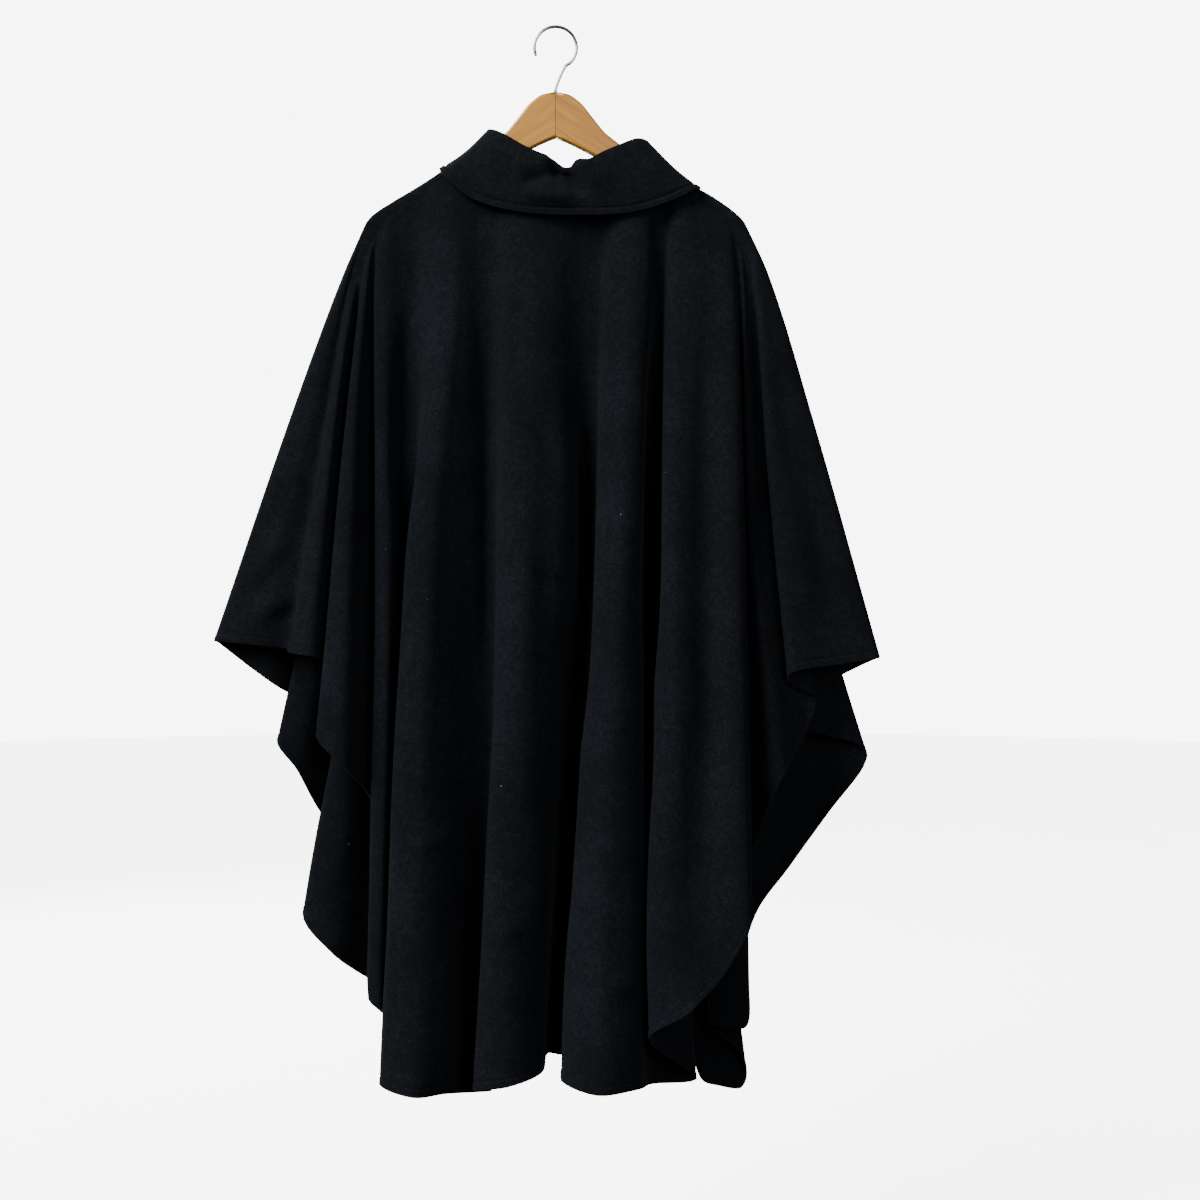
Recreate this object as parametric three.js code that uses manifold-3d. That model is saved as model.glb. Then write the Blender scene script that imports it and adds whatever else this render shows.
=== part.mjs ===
// A round-cut wool cloak, hanging with its back towards -Y on a wooden hanger.
// Millimetres, +Z up. The origin is the inside of the hook's crown, where a rail bears.
import * as THREE from "three";
import { mergeVertices } from "three/addons/utils/BufferGeometryUtils.js";
import Module from "manifold-3d";

const wasm = await Module();
wasm.setup();

// Driving sizes
const clothThickness = 2;
const collarThickness = 2.6;
const seamGap = 0.3;
const hangerThickness = 12;
const hangerBevel = 3;
const restGap = 0.4; // cloth lying on the hanger's faces
const edgeRoll = 9; // how far from an overarm seam the cloth takes to turn down
const wireDiameter = 3.6;
const hookRadius = 22; // inside the hook
const woodTop = -73; // top of the hanger, below the hook's crown
const shankDepth = 26; // wire inside the wood
const buttonDiameter = 26;
const buttonThickness = 4;
const buttonSeat = [29, 18.9, -243]; // middle of its back face, on the right front just below the collar

const flatDepth = hangerThickness / 2 + restGap + clothThickness / 2; // a ply lying on the hanger

// Rows of a table become objects with the columns' names.
function table(columns, rows) {
  const names = columns.split(" ");
  return rows.map((row) => Object.fromEntries(names.map((name, i) => [name, row[i]])));
}

// A smooth curve through (key, value) pairs of a table that never swings past them, read at one key.
function through(rows, key, value, at) {
  const last = rows.length - 1;
  let i = 0;
  while (i < last - 1 && at > rows[i + 1][key]) i += 1;
  const rise = (j) => (rows[j + 1][value] - rows[j][value]) / (rows[j + 1][key] - rows[j][key]);
  const slope = (j) => {
    if (j === 0) return rise(0);
    if (j === last) return rise(last - 1);
    const [a, b] = [rise(j - 1), rise(j)];
    return a * b <= 0 ? 0 : (2 * a * b) / (a + b);
  };
  const [p, q] = [rows[i], rows[i + 1]];
  const span = q[key] - p[key];
  const u = Math.min(Math.max((at - p[key]) / span, 0), 1);
  return (
    p[value] * (1 + 2 * u) * (1 - u) ** 2 +
    slope(i) * span * u * (1 - u) ** 2 +
    q[value] * u * u * (3 - 2 * u) -
    slope(i + 1) * span * u * u * (1 - u)
  );
}

// A curve that turns through points without loops, read at a whole and a fraction of a span.
function acrossPoints(points, at) {
  const last = points.length - 1;
  const i = Math.min(Math.floor(at), last - 1);
  const before = i > 0 ? points[i - 1] : points[0].clone().multiplyScalar(2).sub(points[1]);
  const after = i < last - 1 ? points[i + 2] : points[last].clone().multiplyScalar(2).sub(points[last - 1]);
  const [p, q] = [points[i], points[i + 1]];
  const knot = (a, b) => Math.max(Math.sqrt(a.distanceTo(b)), 0.3);
  const [d0, d1, d2] = [knot(before, p), knot(p, q), knot(q, after)];
  const tangent = (a, b, c, da, db) =>
    b.clone().sub(a).divideScalar(da)
      .sub(c.clone().sub(a).divideScalar(da + db))
      .add(c.clone().sub(b).divideScalar(db))
      .multiplyScalar(d1);
  const [m0, m1] = [tangent(before, p, q, d0, d1), tangent(p, q, after, d1, d2)];
  const u = at - i;
  return p.clone().multiplyScalar((1 + 2 * u) * (1 - u) ** 2)
    .addScaledVector(m0, u * (1 - u) ** 2)
    .addScaledVector(q, u * u * (3 - 2 * u))
    .addScaledVector(m1, -u * u * (1 - u));
}

// The hanger's upper edge, from its middle out; the cloth's ridge lies just over it.
const hangerTop = table("x z", [
  [0, -73], [14, -75], [28, -84], [42, -101], [57, -119], [95, -147], [149, -182.5], [180, -199.5], [194, -208],
]);

// The edge that each panel hangs from: overarm ridge, then the neck, then the other ridge.
const backTop = table("x y z", [
  [-213, -0.15, -220], [-205, -0.15, -211.5],
  [-180, -0.15, -195], [-149, -0.15, -178], [-125, -0.15, -163.5], [-98, -0.15, -144],
  [-86, -9.2, -143.5], [-75, -11.5, -152], [-60, -13, -163], [-20, -14.5, -181], [22, -15, -188], [62, -14.5, -184],
  [96, -12.5, -173], [113, -9.2, -160], [126, -0.15, -162],
  [149, -0.15, -178], [180, -0.15, -195], [205, -0.15, -211.5], [213, -0.15, -220],
]);
const frontTop = table("x y z", [
  [-213, 0.15, -220], [-205, 0.15, -211.5],
  [-180, 0.15, -195], [-149, 0.15, -178], [-125, 0.15, -163.5], [-98, 0.15, -144],
  [-86, 9.2, -144.5], [-75, 11.5, -154], [-60, 13, -168], [-20, 14, -194], [12, 14, -206], [40, 14, -209],
]);
const frontTopRight = table("x y z", [
  [4, 17.5, -209], [32, 17.5, -206], [64, 15, -194], [96, 12.5, -176], [113, 9.2, -161], [126, 0.15, -162],
  [149, 0.15, -178], [180, 0.15, -195], [205, 0.15, -211.5], [213, 0.15, -220],
]);

// One row for each line down the cloth, on a ridge, in a valley or on a flank, from left to right:
// where it leaves the upper edge, where it is at 12% and at 45% of its height, and its point on the hem.
// start is how far down its fold begins.
const foldColumns = "name topX highX midX hemX hemZ hemY start";
const backFolds = table(foldColumns, [
  ["seamLeft", -213, -238, -296, -385, -692, -8, 0],
  ["wingLeft", -211.3, -232, -272, -340, -696, -16, 0],
  ["valley1", -209.6, -228.5, -257, -300, -701, -12, 0.15],
  ["ridge1", -208, -224.5, -250, -292, -704, -44, 0.15],
  ["ridge1Face", -206.5, -221, -243, -266, -708, -54, 0.15],
  ["valley2Left", -205, -218, -237, -251, -714, -11, 0.1],
  ["valley2", -203.5, -215.3, -230, -240, -722, -19, 0.1],
  ["ridge2", -202, -213, -234, -260, -795, -56, 0.08],
  ["ridge2Face", -200.3, -210.3, -222, -228, -829, -64, 0.06],
  ["valley3Left", -198.5, -207.3, -209, -208, -865, -16, 0.04],
  ["valley3", -196.5, -204, -200, -194, -905, -12, 0.04],
  ["ridge3", -194, -199.5, -196, -203, -1082, -52, 0.03],
  ["ridge3Face", -187, -190, -183, -191, -1092, -56, 0.02],
  ["valley4Left", -178, -178, -172, -176, -1135, -18, 0.02],
  ["valley4", -163, -163, -160, -162, -1152, -14, 0.02],
  ["ridge4", -140, -144, -168, -186, -1168, -88, 0.01],
  ["ridge4Face", -118, -122, -141, -150, -1177, -106, 0.01],
  ["ridge4Back", -98, -99, -115, -118, -1180, -82, 0.01],
  ["valley5Left", -86, -84, -87, -94, -1190, -42, 0],
  ["valley5", -66, -66, -68, -70, -1190, -36, 0],
  ["ridge5", -48, -51, -60, -85, -1173, -92, 0],
  ["ridge5Face", -28, -30, -39, -49, -1167, -102, 0],
  ["ridge5Back", -5, -8, -21, -15, -1161, -72, 0],
  ["valley6Left", 24, 20, 14, -9, -1154, -14, 0],
  ["valley6", 43, 36, 28, 3, -1158, -4, 0],
  ["valley6Right", 59, 51, 42, 19, -1160, -8, 0],
  ["ridge6", 72, 61, 43, 9, -1167, -78, 0],
  ["ridge6Face", 88, 84, 70, 48, -1173, -112, 0],
  ["ridge6Back", 102, 103, 93, 90, -1174, -88, 0],
  ["valley7Left", 113, 112, 102, 110, -1187, -19, 0.01],
  ["valley7", 126, 121.5, 114, 158, -1184, -13, 0.01],
  ["ridge7", 136, 130.5, 108, 104, -1119, -84, 0.01],
  ["ridge7Face", 153, 149, 130, 146, -1087, -106, 0.01],
  ["ridge7Dip", 174, 175, 158, 178, -1058, -92, 0.02],
  ["ridge7Back", 193.5, 199, 205, 214, -995, -80, 0.03],
  ["valley8Left", 198, 203.5, 207, 212, -965, -30, 0.04],
  ["valley8", 200.3, 207, 212, 220, -930, -18, 0.05],
  ["ridge8", 202.3, 210.5, 215, 250, -846, -44, 0.06],
  ["ridge8Back", 204.2, 214, 226, 272, -812, -18, 0.08],
  ["valley9Left", 206, 218, 237, 286, -788, -5, 0.1],
  ["valley9", 207.6, 221.2, 241, 292, -756, -11, 0.1],
  ["ridge9Turn", 208.8, 223.5, 234, 262, -738, -28, 0.09],
  ["ridge9", 210, 226, 238, 262, -727, -40, 0.08],
  ["wingRight", 211.3, 232, 268, 318, -718, -22, 0.05],
  ["seamRight", 213, 240, 290, 366, -711, -8, 0],
]);
const leftFolds = table(foldColumns, [
  ["seam", -213, -238, -296, -385, -692, 8, 0],
  ["wing", -211.3, -232.5, -276, -348, -722, 13, 0],
  ["wingIn", -209.5, -229, -265, -320, -743, 18, 0.1],
  ["valley1", -207.7, -225.8, -257, -292, -764, 38, 0.12],
  ["valley1In", -206, -222.8, -251, -281, -786, 31, 0.12],
  ["ridge1", -204.2, -219.7, -247, -316, -806, 13, 0.1],
  ["ridge1Face", -202.4, -216, -238, -294, -839, 11, 0.1],
  ["valley2Left", -200.4, -212, -226, -269, -893, 34, 0.1],
  ["valley2", -198.2, -208, -216, -244, -925, 60, 0.08],
  ["valley2In", -195.5, -204, -210, -238, -955, 58, 0.08],
  ["ridge2", -191.5, -199.5, -214, -288, -1003, 17, 0.08],
  ["ridge2Face", -184, -190, -206, -256, -1046, 12, 0.08],
  ["ridge2Back", -174, -178, -192, -222, -1078, 36, 0.06],
  ["bumpIn", -162, -166, -181, -202, -1092, 44, 0.05],
  ["bump", -150, -154, -172, -214, -1102, 24, 0.05],
  ["bumpFace", -136, -140, -162, -194, -1122, 22, 0.03],
  ["ridge3", -122, -126, -150, -168, -1160, 64, 0.02],
  ["ridge3Face", -98, -106, -136, -152, -1180, 98, 0],
  ["ridge3Back", -86, -90, -118, -124, -1188, 90, 0],
  ["valley4Left", -64, -71, -101, -112, -1190, 36, 0],
  ["valley4", -48, -56, -90, -100, -1190, 34, 0],
  ["ridge4", -26, -38, -80, -94, -1183, 76, 0.02],
  ["ridge4Face", 4, -16, -66, -76, -1164, 80, 0.06],
  ["edge", 34, 14, -52, -66, -1120, 50, 0.1],
]);
const rightFolds = table(foldColumns, [
  ["edge", 10, 26, 98, 157, -1165, 40, 0.12],
  ["edgeIn", 32, 46, 106, 168, -1199, 38, 0.1],
  ["layer2", 54, 66, 118, 188, -1206, 40, 0.05],
  ["layer2Fold", 76, 86, 134, 213, -1208, 39, 0.03],
  ["layer2Turn", 90, 99, 144, 218, -1188, 31, 0.03],
  ["layer2Back", 100, 109, 152, 207, -1160, 24, 0.03],
  ["layer1Turn", 113, 119, 158, 180, -1138, 18, 0.08],
  ["layer1Left", 126, 131, 163, 175, -1128, 9, 0.08],
  ["layer1", 144, 148, 179, 195, -1131, 4, 0.08],
  ["layer1Fold", 166, 170, 198, 215, -1131, 9, 0.08],
  ["valley4", 182, 186, 208, 222, -1110, 30, 0.03],
  ["valley4In", 190, 196, 214, 216, -1075, 56, 0.03],
  ["outer3", 195, 203, 221, 232, -1012, 62, 0.05],
  ["outer3Back", 198, 208.8, 232, 272, -957, 66, 0.08],
  ["cornerIn", 200.2, 213.8, 244, 318, -892, 60, 0.08],
  ["corner", 202.3, 218, 254, 358, -832, 46, 0.1],
  ["cornerTurn", 204.2, 221.3, 257.5, 352, -815, 37, 0.1],
  ["curl", 206, 224.3, 261, 306, -800, 31, 0.1],
  ["bandTurn", 207.7, 227.3, 263, 264, -785, 23, 0.1],
  ["band", 209.5, 230.5, 265, 263, -766, 14, 0.1],
  ["bandOut", 211.3, 234.5, 277, 333, -727, 13, 0.1],
  ["seam", 213, 240, 290, 366, -711, 8, 0],
]);

// Heights of the points down each line: millimetres over the hanger's edge, then shares of the line.
const ridgeSteps = [0, 0.8, 2.2, 4.4, 6.8, 10];
const lowerShares = [0.045, 0.08, 0.13, 0.2, 0.29, 0.4, 0.52, 0.66, 0.82, 1];
const spanSteps = [0, 0.5];
const seamSteps = [0, 0.05, 0.15, 0.4]; // closer together beside an overarm seam

// One point of the line down the cloth that a row of a fold table gives, on one of the rows of points.
function linePoint(fold, top, row) {
  const knots = table("share x", [
    [0, fold.topX], [0.12, fold.highX], [0.45, fold.midX], [1, fold.hemX],
  ]);
  const topY = through(top, "x", "y", fold.topX);
  const topZ = through(top, "x", "z", fold.topX);
  const height = topZ - fold.hemZ;
  const share = row < ridgeSteps.length ? ridgeSteps[row] / height : lowerShares[row - ridgeSteps.length];
  const fallen = Math.max(share - fold.start, 0) / (1 - fold.start);
  const flat = Math.sign(topY) * Math.max(flatDepth, Math.abs(topY));
  const hanging = flat + (fold.hemY - flat) * fallen ** 0.7;
  const turned = quarterRound((share * height) / edgeRoll);
  return new THREE.Vector3(
    through(knots, "share", "x", share),
    topY + (hanging - topY) * turned,
    topZ - height * share,
  );
}

// The rise of a quarter circle, level again from 1 on.
function quarterRound(share) {
  return Math.sqrt(1 - (1 - Math.min(share, 1)) ** 2);
}

// The middle surface of a panel: rows of points from its upper edge down to its hem.
function panelRows(folds, top) {
  const last = folds.length - 1;
  const side = Math.sign(top[0].y); // the back hangs behind the seams, the fronts before them
  const seams = [folds[0], folds[last]].map((fold) => fold.name.startsWith("seam"));
  const steps = [];
  for (let span = 0; span < last; span += 1) {
    if (span === 0 && seams[0]) seamSteps.forEach((step) => steps.push(step));
    else if (span === last - 1 && seams[1]) [...seamSteps].reverse().forEach((step) => steps.push(last - step));
    else spanSteps.forEach((step) => steps.push(span + step));
  }
  if (seams[1]) steps.splice(steps.length - seamSteps.length, 0, last - 1);
  else steps.push(last);
  return [...ridgeSteps, ...lowerShares].map((_, rowIndex) => {
    const line = folds.map((fold) => linePoint(fold, top, rowIndex));
    const row = steps.map((at) => acrossPoints(line, at));
    const away = (point, end) => Math.hypot(point.x - end.x, point.z - end.z);
    const seamEnds = [row[0], row[row.length - 1]].filter((_, end) => seams[end]).map((end) => end.clone());
    row.forEach((point) => {
      const near = Math.min(...seamEnds.map((end) => away(point, end)));
      if (near >= edgeRoll && rowIndex >= ridgeSteps.length) return;
      const apart = Math.max(side * point.y, seamGap / 2) - seamGap / 2;
      point.y = side * (seamGap / 2 + apart * quarterRound(near / edgeRoll));
      point.flush = Math.abs(point.y) < seamGap; // a seam's edges meet flush
    });
    return row;
  });
}

// A wall of even thickness about a middle surface, closed round its rim.
function wall(rows, thickness) {
  const [down, along] = [rows.length, rows[0].length];
  const pick = (i, j) => rows[Math.min(Math.max(i, 0), down - 1)][Math.min(Math.max(j, 0), along - 1)];
  const corners = [];
  for (const side of [-0.5, 0.5]) {
    for (let i = 0; i < down; i += 1) {
      for (let j = 0; j < along; j += 1) {
        const alongRow = pick(i, j + 1).clone().sub(pick(i, j - 1));
        const downLine = pick(i + 1, j).clone().sub(pick(i - 1, j));
        const normal = alongRow.cross(downLine);
        if (pick(i, j).flush) normal.y = 0;
        normal.normalize();
        corners.push(...pick(i, j).clone().addScaledVector(normal, side * thickness).toArray());
      }
    }
  }
  const at = (side, i, j) => side * down * along + i * along + j;
  const faces = [];
  const quad = (a, b, c, d) => faces.push(a, b, c, a, c, d);
  for (let i = 0; i < down - 1; i += 1) {
    for (let j = 0; j < along - 1; j += 1) {
      quad(at(0, i, j), at(0, i, j + 1), at(0, i + 1, j + 1), at(0, i + 1, j));
      quad(at(1, i, j), at(1, i + 1, j), at(1, i + 1, j + 1), at(1, i, j + 1));
    }
  }
  for (let j = 0; j < along - 1; j += 1) {
    quad(at(0, 0, j), at(1, 0, j), at(1, 0, j + 1), at(0, 0, j + 1));
    quad(at(0, down - 1, j + 1), at(1, down - 1, j + 1), at(1, down - 1, j), at(0, down - 1, j));
  }
  for (let i = 0; i < down - 1; i += 1) {
    quad(at(0, i + 1, 0), at(1, i + 1, 0), at(1, i, 0), at(0, i, 0));
    quad(at(0, i, along - 1), at(1, i, along - 1), at(1, i + 1, along - 1), at(0, i + 1, along - 1));
  }
  return closedGeometry(corners, faces);
}

// Triangles facing out, whichever way round they were listed.
function closedGeometry(corners, faces) {
  const corner = (i) => new THREE.Vector3().fromArray(corners, 3 * i);
  let volume = 0;
  for (let f = 0; f < faces.length; f += 3) {
    volume += corner(faces[f]).dot(corner(faces[f + 1]).cross(corner(faces[f + 2])));
  }
  const facing = volume < 0 ? faces.map((_, f) => faces[f - (f % 3) + 2 - (f % 3)]) : faces;
  const geometry = new THREE.BufferGeometry();
  geometry.setAttribute("position", new THREE.Float32BufferAttribute(corners, 3));
  geometry.setIndex(facing);
  return geometry;
}

// The collar, one row for each place round the neck, from its left front end round the back to the right.
// neck is on the seam, roll on the fold line, edge on the outer edge.
const collarStations = table("neckX neckY neckZ rollX rollY rollZ edgeX edgeY edgeZ", [
  [17, 20.6, -208, 15, 25, -172, -8, 33, -256],
  [-20, 17.1, -196, -24, 24, -150, -50, 32, -238],
  [-60, 15.9, -170, -60, 21, -127, -92, 27, -206],
  [-83, 11, -142.5, -73, 12, -118.5, -123, 21, -175],
  [-95, 0, -139, -76, 0, -118, -131.5, 0, -159],
  [-83, -11, -141.5, -73, -12, -118.5, -123, -20, -172.5],
  [-60, -16.2, -164, -62, -21, -124, -92, -26, -199],
  [-20, -17.6, -182, -28, -24, -143, -42, -29, -214],
  [22, -17.8, -189, 22, -25, -160, 23, -30, -218],
  [62, -17.4, -185, 60, -24, -144, 84, -29, -215],
  [96, -16, -173, 92, -21, -131, 128, -26, -202],
  [113, -11, -156, 102, -12, -131, 156, -20, -188],
  [124, 0, -157, 105, 0, -131, 163, 0, -181],
  [113, 11, -156.5, 102, 12, -132, 157, 21, -191],
  [96, 15.6, -178, 92, 21, -138, 132, 27, -215],
  [64, 18, -196, 66, 24, -152, 94, 33, -240],
  [27, 20.6, -208, 29, 25, -172, 52, 35, -256],
]);
const rollRadius = 3.2;
const neckMiddle = 22; // the cloak hangs a little to the right of the hook

function collarRows() {
  const stations = [];
  const stepsRound = 2;
  const last = collarStations.length - 1;
  const points = (name) => collarStations.map((s) => new THREE.Vector3(s[name + "X"], s[name + "Y"], s[name + "Z"]));
  const [necks, rolls, edges] = ["neck", "roll", "edge"].map(points);
  for (let step = 0; step <= last * stepsRound; step += 1) {
    const at = step / stepsRound;
    const [neck, roll, edge] = [necks, rolls, edges].map((line) => acrossPoints(line, at));
    const ahead = acrossPoints(rolls, Math.min(at + 0.25, last)).sub(acrossPoints(rolls, Math.max(at - 0.25, 0)));
    const out = new THREE.Vector3(-ahead.y, ahead.x, 0).normalize();
    if (out.x * (roll.x - neckMiddle) + out.y * roll.y * 4 < 0) out.negate();
    const inFold = roll.clone().addScaledVector(out, -rollRadius).setZ(roll.z - rollRadius);
    const outFold = roll.clone().addScaledVector(out, rollRadius).setZ(roll.z - rollRadius);
    const stand = neck.clone().lerp(inFold, 0.5);
    const fall = outFold.clone().lerp(edge, 0.5);
    fall.y += 3 * out.y; // full in front and behind, drawn down over the shoulders
    fall.z -= 3 * Math.abs(out.x);
    const section = [neck, stand, inFold, roll, outFold, fall, edge];
    stations.push([0, 1, 2, 2.5, 3, 3.5, 4, 5, 6].map((place) => acrossPoints(section, place)));
  }
  return stations;
}

// Hanger: one half's outline, mirrored for the other, with rounded edges all round.
function hangerOutline() {
  const shape = new THREE.Shape();
  const clear = seamGap / 2 + hangerBevel;
  const lower = 34; // height of the arm
  shape.moveTo(clear, -76.2);
  hangerTop.slice(1).forEach((point) => shape.lineTo(Math.max(point.x, clear) - 2, point.z - 2.8));
  shape.quadraticCurveTo(200, -213, 198, -219);
  shape.quadraticCurveTo(194, -222, 186, -217);
  shape.lineTo(150, -200);
  shape.lineTo(95, -143 - lower);
  shape.lineTo(50, -145);
  shape.quadraticCurveTo(20, -128, clear, -122);
  shape.closePath();
  return shape;
}

// A closed three.js geometry as a solid that can be cut.
function solidOf(geometry) {
  const bare = geometry.clone();
  bare.deleteAttribute("normal");
  bare.deleteAttribute("uv");
  const merged = mergeVertices(bare, 1e-4);
  return new wasm.Manifold(new wasm.Mesh({
    numProp: 3,
    vertProperties: merged.attributes.position.array,
    triVerts: new Uint32Array(merged.index.array),
  }));
}

function geometryOf(solid) {
  const mesh = solid.getMesh();
  const geometry = new THREE.BufferGeometry();
  geometry.setAttribute("position", new THREE.Float32BufferAttribute(mesh.vertProperties, 3));
  geometry.setIndex(Array.from(mesh.triVerts));
  return geometry;
}

function upright(radius, length, segments) {
  return new THREE.CylinderGeometry(radius, radius, length, segments).rotateX(Math.PI / 2);
}

function hangerHalf(side) {
  const depth = hangerThickness - 2 * hangerBevel;
  const half = new THREE.ExtrudeGeometry(hangerOutline(), {
    depth, bevelEnabled: true, bevelSize: hangerBevel, bevelThickness: hangerBevel, bevelSegments: 2, curveSegments: 5,
  });
  half.translate(0, 0, -depth / 2).rotateX(Math.PI / 2);
  const solid = solidOf(half);
  const boreLength = shankDepth + 1;
  const bore = upright(wireDiameter / 2 + seamGap, boreLength + 20, 16).translate(0, 0, woodTop - boreLength / 2 + 10);
  const cut = solid.subtract(solidOf(bore));
  return geometryOf(side < 0 ? cut.mirror([1, 0, 0]) : cut);
}

// The hook: a straight shank out of the wood, a bend to the right, then round over the crown.
function hookGeometry() {
  const centreRadius = hookRadius + wireDiameter / 2;
  const centreZ = -hookRadius;
  const points = [[0, woodTop - shankDepth], [0, woodTop - shankDepth / 2], [0, woodTop], [0, woodTop + 4]];
  for (let degree = -62; degree <= 200; degree += 14.5) {
    const angle = THREE.MathUtils.degToRad(degree);
    points.push([centreRadius * Math.cos(angle), centreZ + centreRadius * Math.sin(angle)]);
  }
  const path = new THREE.CatmullRomCurve3(points.map(([x, z]) => new THREE.Vector3(x, 0, z)));
  const wire = new THREE.Shape();
  wire.absarc(0, 0, wireDiameter / 2, 0, 2 * Math.PI);
  return new THREE.ExtrudeGeometry(wire, { steps: 34, bevelEnabled: false, curveSegments: 4, extrudePath: path });
}

// A plain four-hole button with a raised rim, facing +Y.
function buttonGeometry() {
  const radius = buttonDiameter / 2;
  const profile = [
    [0, 0], [radius - 1.5, 0], [radius, 1.2], [radius, buttonThickness - 1.2], [radius - 1.2, buttonThickness],
    [radius - 3, buttonThickness], [radius - 4.5, buttonThickness - 1.2], [0, buttonThickness - 1.2],
  ].map(([r, height]) => new THREE.Vector2(r, height));
  let solid = solidOf(new THREE.LatheGeometry(profile, 20));
  for (const x of [-2.6, 2.6]) {
    for (const z of [-2.6, 2.6]) {
      solid = solid.subtract(solidOf(new THREE.CylinderGeometry(1, 1, 20, 8).translate(x, 0, z)));
    }
  }
  return geometryOf(solid);
}

const blackWool = { color: 0x0c0f14, roughness: 0.95, metalness: 0 };
const wood = { color: 0xc59a56, roughness: 0.5, metalness: 0 };
const steel = { color: 0xb9bcc0, roughness: 0.25, metalness: 1 };
const horn = { color: 0x14120f, roughness: 0.35, metalness: 0 };

const cloak = new THREE.Group();

function add(name, geometry, finish) {
  const mesh = new THREE.Mesh(geometry, new THREE.MeshStandardMaterial(finish));
  mesh.name = name;
  cloak.add(mesh);
  return mesh;
}

add("back_panel", wall(panelRows(backFolds, backTop), clothThickness), blackWool);
add("front_left", wall(panelRows(leftFolds, frontTop), clothThickness), blackWool);
add("front_right", wall(panelRows(rightFolds, frontTopRight), clothThickness), blackWool);
add("collar", wall(collarRows(), collarThickness), blackWool);
add("hanger_left", hangerHalf(-1), wood);
add("hanger_right", hangerHalf(1), wood);
add("hook", hookGeometry(), steel);
add("neck_button", buttonGeometry(), horn).position.set(...buttonSeat);

export default cloak;
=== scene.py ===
"""A black wool cloak hanging on a wooden hanger, with its back to the camera.

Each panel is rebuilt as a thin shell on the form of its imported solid: nearly the same fold tables,
read more finely, with a few folds of the back moved up to 19 mm to where the photo has them, and with
the smaller creases, the hem's turned edge and its stitching added. Sizes are in millimetres until a
mesh is made; the scene is in metres, +Z up, with the hook's crown at the origin.
"""

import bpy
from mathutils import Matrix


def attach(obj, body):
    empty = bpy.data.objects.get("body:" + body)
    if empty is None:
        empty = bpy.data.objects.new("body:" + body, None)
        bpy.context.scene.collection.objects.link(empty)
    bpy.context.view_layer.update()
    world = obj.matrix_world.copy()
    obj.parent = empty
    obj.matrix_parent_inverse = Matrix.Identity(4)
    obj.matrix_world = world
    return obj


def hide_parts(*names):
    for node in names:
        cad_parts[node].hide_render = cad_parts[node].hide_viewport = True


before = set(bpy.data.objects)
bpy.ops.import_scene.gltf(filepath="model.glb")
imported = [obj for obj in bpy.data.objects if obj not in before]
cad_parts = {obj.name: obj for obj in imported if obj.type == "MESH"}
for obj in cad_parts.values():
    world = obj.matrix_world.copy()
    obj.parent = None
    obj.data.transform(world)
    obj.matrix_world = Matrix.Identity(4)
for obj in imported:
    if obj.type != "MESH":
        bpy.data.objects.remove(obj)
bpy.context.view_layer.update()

import logging
import math
from collections.abc import Sequence
from dataclasses import dataclass, field
from enum import Enum
from itertools import starmap
from typing import Any, NamedTuple

import bpy
import numpy as np
from mathutils import Vector

Point = tuple[float, float, float]
Flat = tuple[float, float]
Rows = tuple[tuple[float, ...], ...]
Array = np.ndarray  # a grid is rows by columns by 3, in millimetres
Tree = bpy.types.NodeTree
Socket = bpy.types.NodeSocket
Material = bpy.types.Material
Piece = bpy.types.Object
MM = 0.001
BODY = "root"
CLOTH = 2.0  # thickness of the wool
SEAM_GAP = 0.3
HANGER_THICKNESS = 12.0
REST_GAP = 0.4  # between the cloth and the hanger's faces
EDGE_ROLL = 9.0  # how far from an overarm seam the cloth takes to turn down
FLAT_DEPTH = HANGER_THICKNESS / 2 + REST_GAP + CLOTH / 2
STITCH_PITCH = 4.2
STITCH_LENGTH = 3.2
STITCH_SIDES = 5
STITCH_PROFILE = ((0.0, 0.35), (0.18, 0.95), (0.5, 1.1), (0.82, 0.95), (1.0, 0.35))  # place and width
CORNER_REACH = 1.5  # how far a row of stitches runs on toward the next edge
THREAD = 0.7
RIM_ROUND = 0.45  # how far a shell's rim bulges, as a share of half its thickness
RIM_MOST = 0.5
FOLD_SHARES = (0, 0.12, 0.45, 1)  # how far down the cloth a fold's four x values lie

log = logging.getLogger("cloak")


class Fold(NamedTuple):
    """One line down the cloth: its x at the top, at 12% and at 45%, its hem point, where it starts."""

    top_x: float
    high_x: float
    mid_x: float
    hem_x: float
    hem_z: float
    hem_y: float
    start: float  # share of the way down


class Crease(NamedTuple):
    """A soft trough (depth below 0) or ridge from one (x, z) to another, this wide and deep."""

    x0: float
    z0: float
    x1: float
    z1: float
    width: float
    depth: float


class Border(NamedTuple):
    """A turned edge with its row of stitches."""

    stitch: float  # from the edge to the stitches
    past: float  # from them to where the turned part ends
    band: float  # what the turned part adds to each side
    fade: float
    groove: float  # how far the stitches pull each side in
    width: float
    sunk: float  # how deep the thread lies in the cloth

    def half(self, plain: float, away: Array) -> Array:
        """Gives half the cloth's thickness this far from the edge, where the plain cloth's is given."""
        band = self.band / (1 + np.exp((away - self.stitch - self.past) / self.fade))
        return plain + band - self.groove * np.exp(-(((away - self.stitch) / self.width) ** 2))


class Softbox(NamedTuple):
    """A square soft light: its name, its place in millimetres, its watts and its side in metres."""

    name: str
    place: Point
    power: float
    size: float


class Held(Enum):
    """How a sheet of cloth is held up."""

    HUNG = "hung"
    FOLDED = "folded"


class Side(Enum):
    """Which half of the hanger a piece is."""

    LEFT = -1
    RIGHT = 1


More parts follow.
